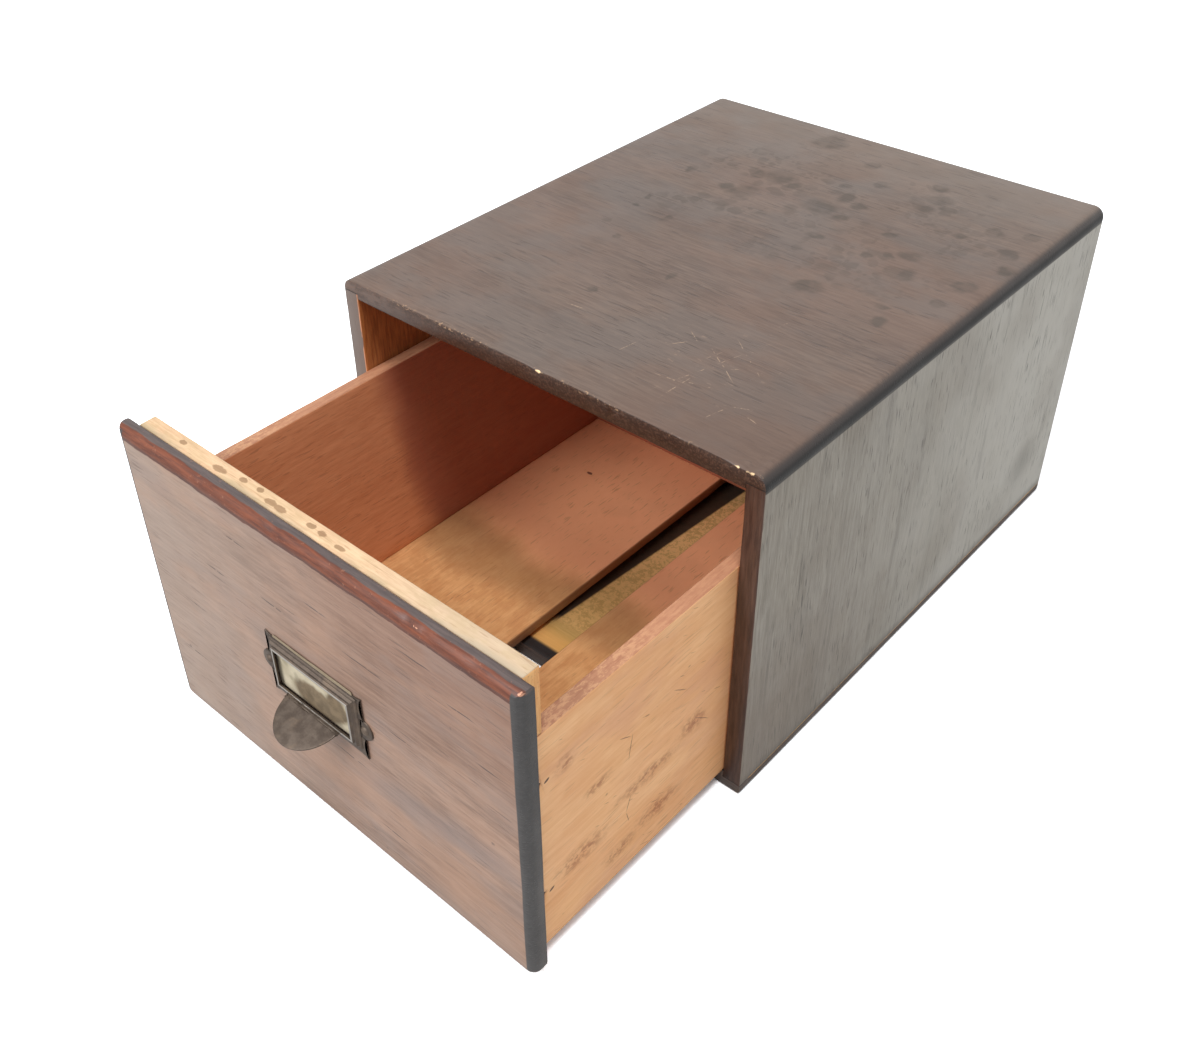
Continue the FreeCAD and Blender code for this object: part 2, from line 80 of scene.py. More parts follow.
def pick(piece, kind, test):
    """Opens the piece in edit mode with only the chosen vertices, edges or faces selected.

    The test is given a vertex's place, an edge's two ends, or a face's middle and normal.
    """
    make_active(piece)
    mesh = piece.data
    for group in (mesh.vertices, mesh.edges, mesh.polygons):
        group.foreach_set("select", [False] * len(group))
    places = [vertex.co for vertex in mesh.vertices]
    if kind == "vertices":
        chosen = [vertex for vertex in mesh.vertices if test(vertex.co)]
    elif kind == "edges":
        chosen = [edge for edge in mesh.edges if test(*[places[end] for end in edge.vertices])]
    else:
        chosen = [face for face in mesh.polygons if test(face.center, face.normal)]
    for item in chosen:
        item.select = True
        if kind != "vertices":
            for end in item.vertices:
                mesh.vertices[end].select = True
    modes = {"vertices": (True, False, False), "edges": (False, True, False), "faces": (False, False, True)}
    bpy.context.tool_settings.mesh_select_mode = modes[kind]
    bpy.ops.object.mode_set(mode="EDIT")
    return len(chosen)


def done():
    bpy.ops.object.mode_set(mode="OBJECT")


def slice_at(piece, axis, places):
    """Cuts the whole mesh with planes across an axis, so that it can be shaped between them."""
    normal = [0, 0, 0]
    normal[axis] = 1
    make_active(piece)
    bpy.ops.object.mode_set(mode="EDIT")
    for place in places:
        point = [0, 0, 0]
        point[axis] = place
        bpy.ops.mesh.select_all(action="SELECT")
        bpy.ops.mesh.bisect(plane_co=point, plane_no=normal)
    done()


def steps(low, high, spacing):
    """Evenly spaced places between two ends, without the ends."""
    count = max(2, round((high - low) / spacing))
    return [low + (high - low) * step / count for step in range(1, count)]


def apply_modifiers(piece):
    make_active(piece)
    for modifier in list(piece.modifiers):
        bpy.ops.object.modifier_apply(modifier=modifier.name)


# A soft cloud pattern that the wear of the edges follows.
EDGE_WEAR = bpy.data.textures.new("edge_wear", "CLOUDS")
EDGE_WEAR.noise_scale = 9 * MM
EDGE_WEAR.noise_depth = 3


def wear_edges(piece, corners, depth, reach):
    """Presses the arrises in a little and unevenly, most at the edges themselves.

    corners is the pair of corners of the board's box.
    """
    low, high = corners
    group = piece.vertex_groups.new(name="arris")
    for vertex in piece.data.vertices:
        gaps = sorted(min(vertex.co[axis] - low[axis], high[axis] - vertex.co[axis]) for axis in range(3))
        weight = max(0.0, 1 - gaps[1] / reach)
        if weight > 0:
            group.add([vertex.index], weight, "REPLACE")
    press = piece.modifiers.new("wear", "DISPLACE")
    press.texture = EDGE_WEAR
    press.texture_coords = "LOCAL"
    press.vertex_group = group.name
    press.direction = "NORMAL"
    press.mid_level = 0.95
    press.strength = depth
    apply_modifiers(piece)
    piece.vertex_groups.clear()


def round_arris(piece, test, width, segments):
    """Rounds the edges whose two ends pass the test."""
    if pick(piece, "edges", test):
        bpy.ops.mesh.bevel(offset=width, offset_type="OFFSET", segments=segments, profile=0.5,
                           affect="EDGES", clamp_overlap=False)
    done()


def combine(piece, other, operation):
    """Cuts away or adds another solid, which is used up."""
    tool = piece.modifiers.new("combine", "BOOLEAN")
    tool.operation = operation
    tool.solver = "EXACT"
    tool.object = other
    apply_modifiers(piece)
    bpy.data.objects.remove(other, do_unlink=True)


def carve(piece, low, high):
    """Cuts a rebate, groove or window between two corners."""
    combine(piece, block("carving", low, high), "DIFFERENCE")


def merged_copy(node, name, arris):
    """A merged copy of a CAD node with its long arrises broken, to be worn and finished further."""
    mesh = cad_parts[node].data.copy()
    mesh.name = name
    mesh.materials.clear()
    piece = bpy.data.objects.new(name, mesh)
    bpy.context.scene.collection.objects.link(piece)
    make_active(piece)
    bpy.ops.object.mode_set(mode="EDIT")
    bpy.ops.mesh.select_all(action="SELECT")
    bpy.ops.mesh.remove_doubles(threshold=0.01 * MM)
    bpy.ops.mesh.dissolve_limited(angle_limit=math.radians(1))
    bpy.ops.mesh.normals_make_consistent(inside=False)
    bpy.context.tool_settings.mesh_select_mode = (False, True, False)
    bpy.ops.mesh.select_all(action="DESELECT")
    bpy.ops.mesh.edges_select_sharp(sharpness=math.radians(50))
    done()
    places = [vertex.co.copy() for vertex in piece.data.vertices]
    sharp = {frozenset(edge.vertices) for edge in piece.data.edges if edge.select
             and (places[edge.vertices[0]] - places[edge.vertices[1]]).length > 5 * MM}
    ends = {frozenset((tuple(places[one]), tuple(places[two]))) for one, two in map(tuple, sharp)}
    round_arris(piece, lambda one, two: frozenset((tuple(one), tuple(two))) in ends, arris, 2)
    return piece


def near(one, two, gap=0.02 * MM):
    return abs(one - two) < gap


def edge(level="", **places):
    """A test for edges that lie at the given places, with both ends level along the named axes."""
    def test(one, two):
        return (all(near(getattr(end, axis), place) for end in (one, two) for axis, place in places.items())
                and all(near(getattr(one, axis), getattr(two, axis)) for axis in level))
    return test


def disc(radius, depth, place, sides, lying=False):
    """A round disc, standing across the board's face unless it is lying."""
    clear_selection()
    bpy.ops.mesh.primitive_cylinder_add(vertices=sides, radius=radius, depth=depth, location=place,
                                        rotation=(0 if lying else math.pi / 2, 0, 0))
    piece = bpy.context.object
    settle(piece)
    return piece


def push_vertices(piece, test, push, **falloff):
    """Moves the vertices that pass the test."""
    if pick(piece, "vertices", test):
        bpy.ops.transform.translate(value=push, **falloff)
    done()


def dent(piece, centre, radius, push):
    """Presses the surface in around a point, deepest at its middle."""
    for share in (1, 0.6):
        push_vertices(piece, lambda place: (place - centre).length < radius * share, push / 2)


def stand_for(piece, body, slot, *nodes, angle=35):
    """Smooths the piece, which moves with a body, and replaces CAD nodes. The slot is not used."""
    make_active(piece)
    bpy.ops.object.shade_smooth_by_angle(angle=math.radians(angle))
    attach(piece, body)
    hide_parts(*nodes)
    return piece


# ---------------------------------------------------------------- case

SLICE = 3 * MM          # how closely a worn board is divided along its arrises
WIDE_SLICE = 18 * MM
ARRIS = 0.5 * MM


def divide(piece, low, high, fine_axis, other_axis):
    """Divides a board finely along one axis, and widely, with a close row at both ends, along another."""
    slice_at(piece, fine_axis, steps(low[fine_axis], high[fine_axis], SLICE))
    ends = [low[other_axis] + 2 * MM, high[other_axis] - 2 * MM]
    slice_at(piece, other_axis, ends + steps(low[other_axis], high[other_axis], WIDE_SLICE))


PANEL_LOW, PANEL_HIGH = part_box("case_back")
TOP_ROUND = 6 * MM
REAR_ROUND = 4 * MM
FOOT_ROUND = 1.5 * MM
EXTRA = 5 * MM          # how far a carving tool stands out of the wood

# The stretches across the case, beyond both ends, that its sides take up.
OVER_SIDES = ((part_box("case_left_side")[0].x - EXTRA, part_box("case_left_side")[1].x),
              (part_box("case_right_side")[0].x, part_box("case_right_side")[1].x + EXTRA))

# Chips along the top's front arris: place along the front, length and depth.
FRONT_CHIPS = (
    (5.5, 3.6, 0.9), (-62, 3, 0.5), (-24, 2.4, 0.5), (46, 2, 0.4), (84, 2.4, 0.5), (109, 2.6, 0.9),
    (114.5, 4, 1.1))


def case_top():
    """The case's top board, rebated over the sides, with its chips."""
    low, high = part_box("case_top")
    piece = block("case_top_board", low, high)
    round_arris(piece, edge("x", z=high.z), TOP_ROUND, 8)
    round_arris(piece, lambda *ends: edge(y=high.y)(*ends) and not edge(z=low.z)(*ends), REAR_ROUND, 6)
    round_arris(piece, edge(y=low.y), ARRIS, 2)
    carve(piece, (PANEL_LOW.x, PANEL_LOW.y, low.z - EXTRA), (PANEL_HIGH.x, high.y + EXTRA, PANEL_HIGH.z))
    side_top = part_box("case_right_side")[1].z
    for near_x, far_x in OVER_SIDES:
        carve(piece, (near_x, low.y - EXTRA, low.z - EXTRA), (far_x, high.y + EXTRA, side_top))
    divide(piece, low, high, 0, 1)
    wear_edges(piece, (low, high), 0.35 * MM, 1.5 * MM)
    for place, length, depth in FRONT_CHIPS:
        dent(piece, Vector((place * MM, low.y, high.z)), length * MM, Vector((0, 0.5, -1)) * depth * MM)
    return stand_for(piece, "case", "case_stain", "case_top")


def case_side(name, node):
    """One of the case's sides, rebated at its rear for the back panel."""
    low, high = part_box(node)
    inner, outer = sorted((low.x, high.x), key=abs)
    lap = PANEL_HIGH.x * (1 if outer > 0 else -1)
    piece = block(name, low, high)
    round_arris(piece, edge(x=outer, y=high.y), REAR_ROUND, 6)
    round_arris(piece, edge("x", y=low.y), ARRIS, 2)
    carve(piece, (min(inner - EXTRA, lap) if outer > 0 else lap, PANEL_LOW.y, low.z - EXTRA),
          (lap if outer > 0 else inner + EXTRA, high.y + EXTRA, high.z + EXTRA))
    divide(piece, low, high, 2, 1)
    wear_edges(piece, (low, high), 0.3 * MM, 1.5 * MM)
    return stand_for(piece, "case", "case_stain", node)


def case_bottom():
    """The case's bottom, with ledges that show under the sides and the front."""
    low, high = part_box("case_bottom")
    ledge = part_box("case_left_side")[0].z
    piece = block("case_bottom_board", low, high)
    round_arris(piece, lambda *ends: edge("x", y=high.y)(*ends) and not edge("z")(*ends), REAR_ROUND, 6)
    round_arris(piece, lambda *ends: edge(z=low.z)(*ends) and not edge(y=low.y)(*ends), FOOT_ROUND, 3)
    round_arris(piece, lambda *ends: edge(y=low.y)(*ends) and not edge("x")(*ends), ARRIS, 2)
    carve(piece, (PANEL_LOW.x, PANEL_LOW.y, PANEL_LOW.z), (PANEL_HIGH.x, high.y + EXTRA, high.z + EXTRA))
    for near_x, far_x in OVER_SIDES:
        carve(piece, (near_x, low.y - EXTRA, ledge), (far_x, high.y + EXTRA, high.z + EXTRA))
    divide(piece, low, high, 0, 1)
    wear_edges(piece, (low, high), 0.3 * MM, 1.5 * MM)
    return stand_for(piece, "case", "case_stain", "case_bottom")


# ---------------------------------------------------------------- drawer

FRONT_ROUND = 4.5 * MM
LOWER_ROUND = 5 * MM
CREST_ROUND = 2.4 * MM
BOARD_ARRIS = 0.6 * MM

# Nicks along the drawer front's top round: place along the front and depth.
FRONT_NICKS = (
    (-101, 0.6), (-96, 0.5), (-58, 0.4), (-12, 0.5), (22, 0.4), (64, 0.7), (71, 0.5), (97, 0.5))


def drawer_front():
    """The drawer's face board, with its round-over on the face side and a rubbed crest."""
    low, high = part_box("drawer_front")
    piece = block("drawer_front_board", low, high)
    round_arris(piece, edge("x", z=low.z), LOWER_ROUND, 5)
    round_arris(piece, edge(y=low.y), FRONT_ROUND, 8)
    round_arris(piece, edge(y=high.y, z=high.z), CREST_ROUND, 5)
    round_arris(piece, lambda a, b: edge(y=high.y)(a, b) and min(a.z, b.z) < high.z - CREST_ROUND - 0.1 * MM,
                BOARD_ARRIS, 2)
    divide(piece, low, high, 0, 2)
    wear_edges(piece, (low, high), 0.35 * MM, 2 * MM)
    for place, depth in FRONT_NICKS:
        dent(piece, Vector((place * MM, low.y + 1.3 * MM, high.z - 1.3 * MM)), 3 * MM,
             Vector((0, 0.7, -0.7)) * depth * MM)
    return stand_for(piece, "drawer", "front_stain", "drawer_front")


def box_board(name, node, slot, fine_axis, other_axis):
    """One of the drawer box's boards, with broken and worn arrises."""
    low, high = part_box(node)
    piece = merged_copy(node, name, BOARD_ARRIS)
    divide(piece, low, high, fine_axis, other_axis)
    wear_edges(piece, (low, high), 0.25 * MM, 1.5 * MM)
    return stand_for(piece, "drawer", slot, node)


def floor_board(name, node):
    """A board of the drawer's floor, with its edge along the rod slot rubbed round."""
    low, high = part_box(node)
    slot_side = low.x if low.x > 0 else high.x
    piece = block(name, low, high)
    round_arris(piece, edge("z", x=slot_side), 0.9 * MM, 3)
    slice_at(piece, 1, steps(low.y, high.y, SLICE))
    wear_edges(piece, (low, high), 0.3 * MM, 1.6 * MM)
    return stand_for(piece, "drawer", "floor_wood", node)


# ---------------------------------------------------------------- label holder

HOLDER_LOW, HOLDER_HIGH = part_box("label_holder")
PLATE_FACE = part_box("drawer_front")[0].y
HOLDER_MIDDLE = (HOLDER_LOW.z + HOLDER_HIGH.z) / 2
SHEET = 0.8 * MM
# Half width, bottom and top, of the window and of the flange.
WINDOW = (23.25 * MM, HOLDER_MIDDLE - 8.7 * MM, HOLDER_MIDDLE + 11.3 * MM)
FLANGE = (29.0 * MM, HOLDER_MIDDLE - 16.25 * MM, HOLDER_MIDDLE + 16.25 * MM)
# Of each round that an ear is made of: its radius, and how far its middle is out and up.
SCOOP = (13.66 * MM, 42.66 * MM, 11.22 * MM)
LOBE = (5.24 * MM, 29.76 * MM)

# The moulded rim from its lip outwards: how far out from the window, and how far off the board.
MOULDING = (
    (0, 3.3), (0.25, 3.4), (0.7, 3.4), (1.0, 3.2), (1.3, 2.6), (1.7, 2.45), (2.3, 2.45), (2.7, 1.9),
    (3.0, 1.5), (3.5, 1.45), (3.9, 1.2), (4.2, 0.8))


def moulded_rim():
    """The stamped rim: the window's outline inset and raised band by band, as a moulding."""
    half, bottom, top = WINDOW
    reach = MOULDING[-1][0] * MM
    clear_selection()
    bpy.ops.mesh.primitive_plane_add(
        size=1, location=(0, PLATE_FACE - SHEET, (bottom + top) / 2), rotation=(math.pi / 2, 0, 0))
    rim = bpy.context.object
    rim.name = rim.data.name = "label_rim"
    rim.scale = (2 * (half + reach), top - bottom + 2 * reach, 1)
    settle(rim)
    bands = [(out * MM, rise * MM) for out, rise in reversed(MOULDING)]
    bpy.ops.object.mode_set(mode="EDIT")
    bpy.context.tool_settings.mesh_select_mode = (False, False, True)
    bpy.ops.mesh.select_all(action="SELECT")
    for (outer, low_rise), (inner, high_rise) in zip(bands, bands[1:]):
        bpy.ops.mesh.inset(thickness=outer - inner, depth=0, use_even_offset=True)
        bpy.ops.transform.translate(value=(0, low_rise - high_rise, 0))
    bpy.ops.mesh.delete(type="FACE")
    done()
    wall = rim.modifiers.new("sheet", "SOLIDIFY")
    wall.thickness = SHEET
    wall.offset = -1
    apply_modifiers(rim)
    return rim


def ear(side):
    """The flange's end at one side: a round lobe for the tack between two horns."""
    half, bottom, top = FLANGE
    horn_x, horn_rise = half + 1.4 * MM, 1 * MM
    inner, outer = sorted((side * (half - 2.4 * MM), side * horn_x))
    piece = block("label_ear", (inner, PLATE_FACE - SHEET, bottom), (outer, PLATE_FACE, top))
    for end, push in ((bottom, -horn_rise), (top, horn_rise)):
        push_vertices(piece, lambda place: near(place.x, side * horn_x) and near(place.z, end), (0, 0, push))
    radius, out, up = SCOOP
    for turn in (-1, 1):
        scoop = disc(radius, 4 * SHEET, (side * out, PLATE_FACE, HOLDER_MIDDLE + turn * up), 128)
        combine(piece, scoop, "DIFFERENCE")
    radius, out = LOBE
    combine(piece, disc(radius, SHEET, (side * out, PLATE_FACE - SHEET / 2, HOLDER_MIDDLE), 64), "UNION")
    return piece


def flange():
    """The flat sheet round the rim, with both ears, and open under the rim."""
    half, bottom, top = FLANGE
    piece = block("label_flange", (-half, PLATE_FACE - SHEET, bottom), (half, PLATE_FACE, top))
    for side in (-1, 1):
        combine(piece, ear(side), "UNION")
    reach = MOULDING[-1][0] * MM
    window_half, window_bottom, window_top = WINDOW
    carve(piece, (-window_half - reach, PLATE_FACE - EXTRA, window_bottom - reach),
          (window_half + reach, PLATE_FACE + EXTRA, window_top + reach))
    return piece


PULL_HALF = 16.5 * MM
PULL_REACH, PULL_DROP = 18.4 * MM, 3.9 * MM
PULL_DEPTH = math.hypot(PULL_REACH, PULL_DROP)
PULL_FALL = math.atan2(PULL_DROP, PULL_REACH)
PULL_ROOT = Vector((0, PLATE_FACE - 3.0 * MM, WINDOW[1] - SHEET / 2))

# The pull's root, curled out of the rim: how far out each row lies, and how far it is lifted.
PULL_CURL = ((0, -0.55), (0.7, -0.1), (1.5, 0.2), (2.4, 0.28), (3.4, 0.2), (4.6, 0.1))


def finger_pull():
    """The half-round pull, cut from a disc, curled at its root and bent out and down."""
    pull = disc(PULL_HALF, SHEET, (0, 0, 0), 96, lying=True)
    pull.name = pull.data.name = "finger_pull"
    pull.scale = (1, PULL_DEPTH / PULL_HALF, 1)
    settle(pull)
    make_active(pull)
    bpy.ops.object.mode_set(mode="EDIT")
    bpy.ops.mesh.select_all(action="SELECT")
    bpy.ops.mesh.bisect(plane_co=(0, 0, 0), plane_no=(0, 1, 0), use_fill=True, clear_outer=True)
    done()
    flare = 2.4 * MM
    root = block("pull_root", (-PULL_HALF - flare, -flare, -SHEET / 2), (PULL_HALF + flare, 0, SHEET / 2))
    for side in (-1, 1):
        scoop = disc(flare, 4 * SHEET, (side * (PULL_HALF + flare), -flare, 0), 48, lying=True)
        combine(root, scoop, "DIFFERENCE")
    combine(pull, root, "UNION")
    round_arris(pull, lambda a, b: near(a.z, b.z) and a.y < -0.1 * MM and b.y < -0.1 * MM, 0.22 * MM, 2)
    slice_at(pull, 1, [-row * MM for row, _ in PULL_CURL[1:]])
    slice_at(pull, 0, steps(-PULL_HALF, PULL_HALF, 1.5 * MM))
    for row, lift in PULL_CURL:
        push_vertices(pull, lambda place: near(place.y, -row * MM, 0.3 * MM), (0, 0, lift * MM))
    push_vertices(pull, lambda place: place.y < -7 * MM and abs(place.x) < 12 * MM, (0, 0, -0.25 * MM),
                  use_proportional_edit=True, proportional_edit_falloff="SMOOTH", proportional_size=6 * MM)
    pull.rotation_euler = (PULL_FALL, 0, 0)
    pull.location = PULL_ROOT
    settle(pull)
    return pull


def label_holder():
    """The whole stamping: rim, flange and pull in one piece."""
    holder, rim, pull = flange(), moulded_rim(), finger_pull()
    round_arris(holder, edge(y=PLATE_FACE - SHEET), 0.18 * MM, 2)
    make_active(holder)
    rim.select_set(True)
    pull.select_set(True)
    bpy.ops.object.join()
    holder.name = holder.data.name = "stamped_label_holder"
    return stand_for(holder, "drawer", "aged_bronze", "label_holder", angle=40)


def label_card():
    """The card in its pocket: cut a little out of square, bowed and soft at the corners."""
    low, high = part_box("label_card")
    piece = block("slipped_in_card", (low.x, low.y + 0.12 * MM, low.z), (high.x, high.y - 0.12 * MM, high.z))
    round_arris(piece, lambda a, b: not near(a.y, b.y) and near(a.x, b.x), 0.9 * MM, 3)
    slice_at(piece, 0, steps(low.x, high.x, 3 * MM))
    slice_at(piece, 2, steps(low.z, high.z, 3 * MM))
    push_vertices(piece, lambda place: place.z > high.z - 0.3 * MM and place.x < 0, (0, 0, -0.35 * MM))
    push_vertices(piece, lambda place: abs(place.x) < 9 * MM and place.z > low.z + 4 * MM, (0, -0.1 * MM, 0),
                  use_proportional_edit=True, proportional_edit_falloff="SMOOTH", proportional_size=12 * MM)
    return stand_for(piece, "card", "card_stock", "label_card", angle=40)


# ---------------------------------------------------------------- looks

def tone(red, green, blue):
    """A colour written as 0 to 255 per channel, for a shader."""
    def linear(share):
        return share / 12.92 if share <= 0.04045 else ((share + 0.055) / 1.055) ** 2.4
    return (linear(red / 255), linear(green / 255), linear(blue / 255), 1.0)


class Look:
    """The material of some pieces: a node tree built step by step on the piece's own coordinates.

    Lengths are in millimetres. An axis is 0, 1 or 2. A place is a node's output, or else the
    stretch, and if need be the offset and turn, of the piece's own coordinates.
    """

    def __init__(self, name, roughness=0.5, metallic=0.0, specular=0.5):
        self.material = bpy.data.materials.new(name)
        self.material.use_nodes = True
        self.tree = self.material.node_tree
        self.shader = self.tree.nodes["Principled BSDF"]
        self.shader.inputs["Roughness"].default_value = roughness
        self.shader.inputs["Metallic"].default_value = metallic
        self.shader.inputs["Specular IOR Level"].default_value = specular
        self.place = self.add("ShaderNodeTexCoord").outputs["Object"]
        self.axes = self.add("ShaderNodeSeparateXYZ", {"Vector": self.place}).outputs
        self.turning = self.add("ShaderNodeNewGeometry").outputs["Normal"]

    def add(self, kind, feeds=(), **settings):
        """A new node, with its settings, and with a value or another node's output on each named socket."""
        node = self.tree.nodes.new(kind)
        for setting, choice in settings.items():
            setattr(node, setting, choice)
        for socket, feed in dict(feeds).items():
            self.feed(node.inputs[socket], feed)
        return node

    def feed(self, socket, feed):
        if isinstance(feed, bpy.types.NodeSocket):
            self.tree.links.new(feed, socket)
        else:
            socket.default_value = feed

    def calc(self, operation, one, two=0.0, three=0.0):
        return self.add("ShaderNodeMath", {0: one, 1: two, 2: three}, operation=operation).outputs[0]

    def vector(self, operation, feeds, output=0):
        return self.add("ShaderNodeVectorMath", feeds, operation=operation).outputs[output]

    def times(self, first, *factors):
        for factor in factors:
            first = self.calc("MULTIPLY", first, factor)
        return first

    def most(self, first, *masks):
        for mask in masks:
            first = self.calc("MAXIMUM", first, mask)
        return first

    def at(self, place):
        """The coordinates of a place, each axis drawn out by its own factor where a stretch is given."""
        if isinstance(place, tuple):
            stretch, offset, turn = (place + ((0, 0, 0), (0, 0, 0)))[:3]
            return self.add("ShaderNodeMapping", {"Vector": self.place, "Location": offset, "Rotation": turn,
                                                  "Scale": stretch}, vector_type="TEXTURE").outputs[0]
        return place or self.place

    def noise(self, size, place=None, detail=3.0, rough=0.5, colour=False):
        node = self.add("ShaderNodeTexNoise", {"Vector": self.at(place), "Scale": 1 / (size * MM),
                                               "Detail": detail, "Roughness": rough})
        return node.outputs["Color" if colour else "Fac"]

    def cells(self, size, place):
        node = self.add("ShaderNodeTexVoronoi", {"Vector": self.at(place), "Scale": 1 / (size * MM)})
        return node.outputs["Distance"]

    def rise(self, source, low, high, start=0.0, end=1.0):
        """From start to end, smoothly, as the source goes from low to high."""
        feeds = {0: source, 1: low, 2: high, 3: start, 4: end}
        return self.add("ShaderNodeMapRange", feeds, interpolation_type="SMOOTHSTEP").outputs[0]

    def gauge(self, source, low, high, start=0.0, end=1.0):
        """The same for a source that is a length."""
        return self.rise(source, low * MM, high * MM, start, end)

    def along(self, axis, low, high, start=0.0, end=1.0):
        """The same for the place on an axis."""
        return self.gauge(self.axes[axis], low, high, start, end)

    def between(self, axis, low, high, soft=0.3):
        """1 between two places on an axis, falling to 0 beyond them."""
        return self.times(self.along(axis, low - soft, low), self.along(axis, high, high + soft, 1, 0))

    def aside(self):
        """How far a place is from the middle, to the left or right."""
        return self.calc("ABSOLUTE", self.axes[0])

    def sway(self, source, amount, pattern):
        """A length made uneven by a pattern."""
        return self.calc("MULTIPLY_ADD", pattern, amount * MM, source)

    def facing(self, direction, low=0.35, high=0.8):
        """1 where the surface is turned towards a direction."""
        return self.rise(self.vector("DOT_PRODUCT", {0: self.turning, 1: direction}, "Value"), low, high)

    def cloud(self, size, low, high, place=None, detail=3.0, rough=0.5, start=0.0, end=1.0):
        """Soft patches: a noise from low to high."""
        return self.rise(self.noise(size, place, detail, rough), low, high, start, end)

    def blend(self, share, one, two):
        return self.add("ShaderNodeMix", {0: share, 6: one, 7: two}, data_type="RGBA").outputs[2]

    def shift(self, amount, size, detail=2.0, place=None):
        """The coordinates pushed about by a soft noise, so that drawn marks have ragged outlines."""
        place = self.at(place)
        centred = self.vector("SUBTRACT", {0: self.noise(size, place, detail, colour=True), 1: (0.5, 0.5, 0.5)})
        return self.vector("ADD", {0: place, 1: self.vector("SCALE", {0: centred, 3: amount * MM})})

    def spot(self, centre, radii, soft=0.4, turn=(0, 0, 0), place=None):
        """A mark: 1 inside an ellipsoid, 0 outside, with a soft edge."""
        feeds = {"Vector": place or self.place, "Location": [part * MM for part in centre], "Rotation": turn,
                 "Scale": [size * MM for size in radii]}
        local = self.add("ShaderNodeMapping", feeds, vector_type="TEXTURE").outputs[0]
        return self.rise(self.vector("LENGTH", {0: local}, "Value"), 1 - soft, 1, 1, 0)

    def colour(self, layers):
        self.feed(self.shader.inputs["Base Color"], layers.shade)

    def gloss(self, source):
        self.feed(self.shader.inputs["Roughness"], source)

    def patchy_gloss(self, size, low, high, detail=3.0):
        """A roughness that wanders between two values."""
        self.gloss(self.cloud(size, 0.3, 0.7, None, detail, 0.5, low, high))

    def relief(self, height, depth, strength=1.0):
        """Bump from a 0 to 1 height, whose full range stands for a depth."""
        bump = self.add("ShaderNodeBump", {"Height": height, "Distance": depth * MM, "Strength": strength})
        if self.shader.inputs["Normal"].is_linked:
            self.feed(bump.inputs["Normal"], self.shader.inputs["Normal"].links[0].from_socket)
        self.feed(self.shader.inputs["Normal"], bump.outputs[0])


def shade_of(colour):
    """What a shader takes for layers, three numbers from 0 to 255, or a node's output."""
    if isinstance(colour, Layers):
        return colour.shade
    return tone(*colour) if isinstance(colour, tuple) else colour


class Layers:
    """A colour that further colours are laid over, each by its shares multiplied together."""

    def __init__(self, look, colour):
        self.look, self.shade = look, shade_of(colour)

    def over(self, colour, *shares):
        self.shade = self.look.blend(self.look.times(*shares), self.shade, shade_of(colour))
        return self


class Grain:
    """Wood grain along x, y or z: broad figure, streaks, fibres and pores, each from 0 to 1."""

    def __init__(self, look, axis, offset=(0, 0, 0), pore_length=4.5, pore_width=0.38, figure_size=16):
        def run(times):
            return tuple(times if name == axis else 1 for name in "xyz"), offset

        self.look = look
        self.figure = look.cloud(figure_size, 0.3, 0.7, look.shift(3, 30, place=run(9)), 3, 0.55)
        self.streaks = look.cloud(2.4, 0.32, 0.68, look.shift(2, 20, place=run(11)), 4, 0.65)
        self.fibres = look.cloud(1.2, 0.33, 0.67, run(13), 3, 0.7)
        pores = look.cloud(2.4 * pore_width, 0.62, 0.7, run(pore_length / pore_width), 1, 0.4)
        thick = look.cloud(25, 0.35, 0.65, run(3), 2)
        self.pores = look.times(pores, look.calc("MULTIPLY_ADD", thick, 0.65, 0.35))

    def wood(self, dark, middle, light, streak_share=0.5, fibre_share=0.5):
        """The wood's colour between dark and light by its figure, streaks and fibres."""
        def spread(pattern):
            return Layers(self.look, dark).over(light, pattern)

        layers = spread(self.figure).over(middle, 0.6)
        return layers.over(spread(self.streaks), streak_share).over(spread(self.fibres), fibre_share)

    def stained(self, layers):
        """The whole look in these layers, with the pores and fibres in relief."""
        self.look.colour(layers)
        self.look.relief(self.look.calc("SUBTRACT", 1.0, self.pores), 0.12, 0.6)
        self.look.relief(self.fibres, 0.035, 0.4)
        return self.look

    def bare(self, layers, depth):
        """The whole look in these layers, with only the fibres in relief."""
        self.look.colour(layers)
        self.look.relief(self.fibres, depth, 0.5)
        return self.look


def dress(look, *pieces):
    for piece in pieces:
        piece.data.materials.clear()
        piece.data.materials.append(look.material)


# ---------------------------------------------------------------- the case's looks

# In millimetres, as all lengths of the looks: the sides' inner faces, and where the marks on the top lie.
WALL_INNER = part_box("case_right_side")[0].x / MM
TOP_MARKS = 182

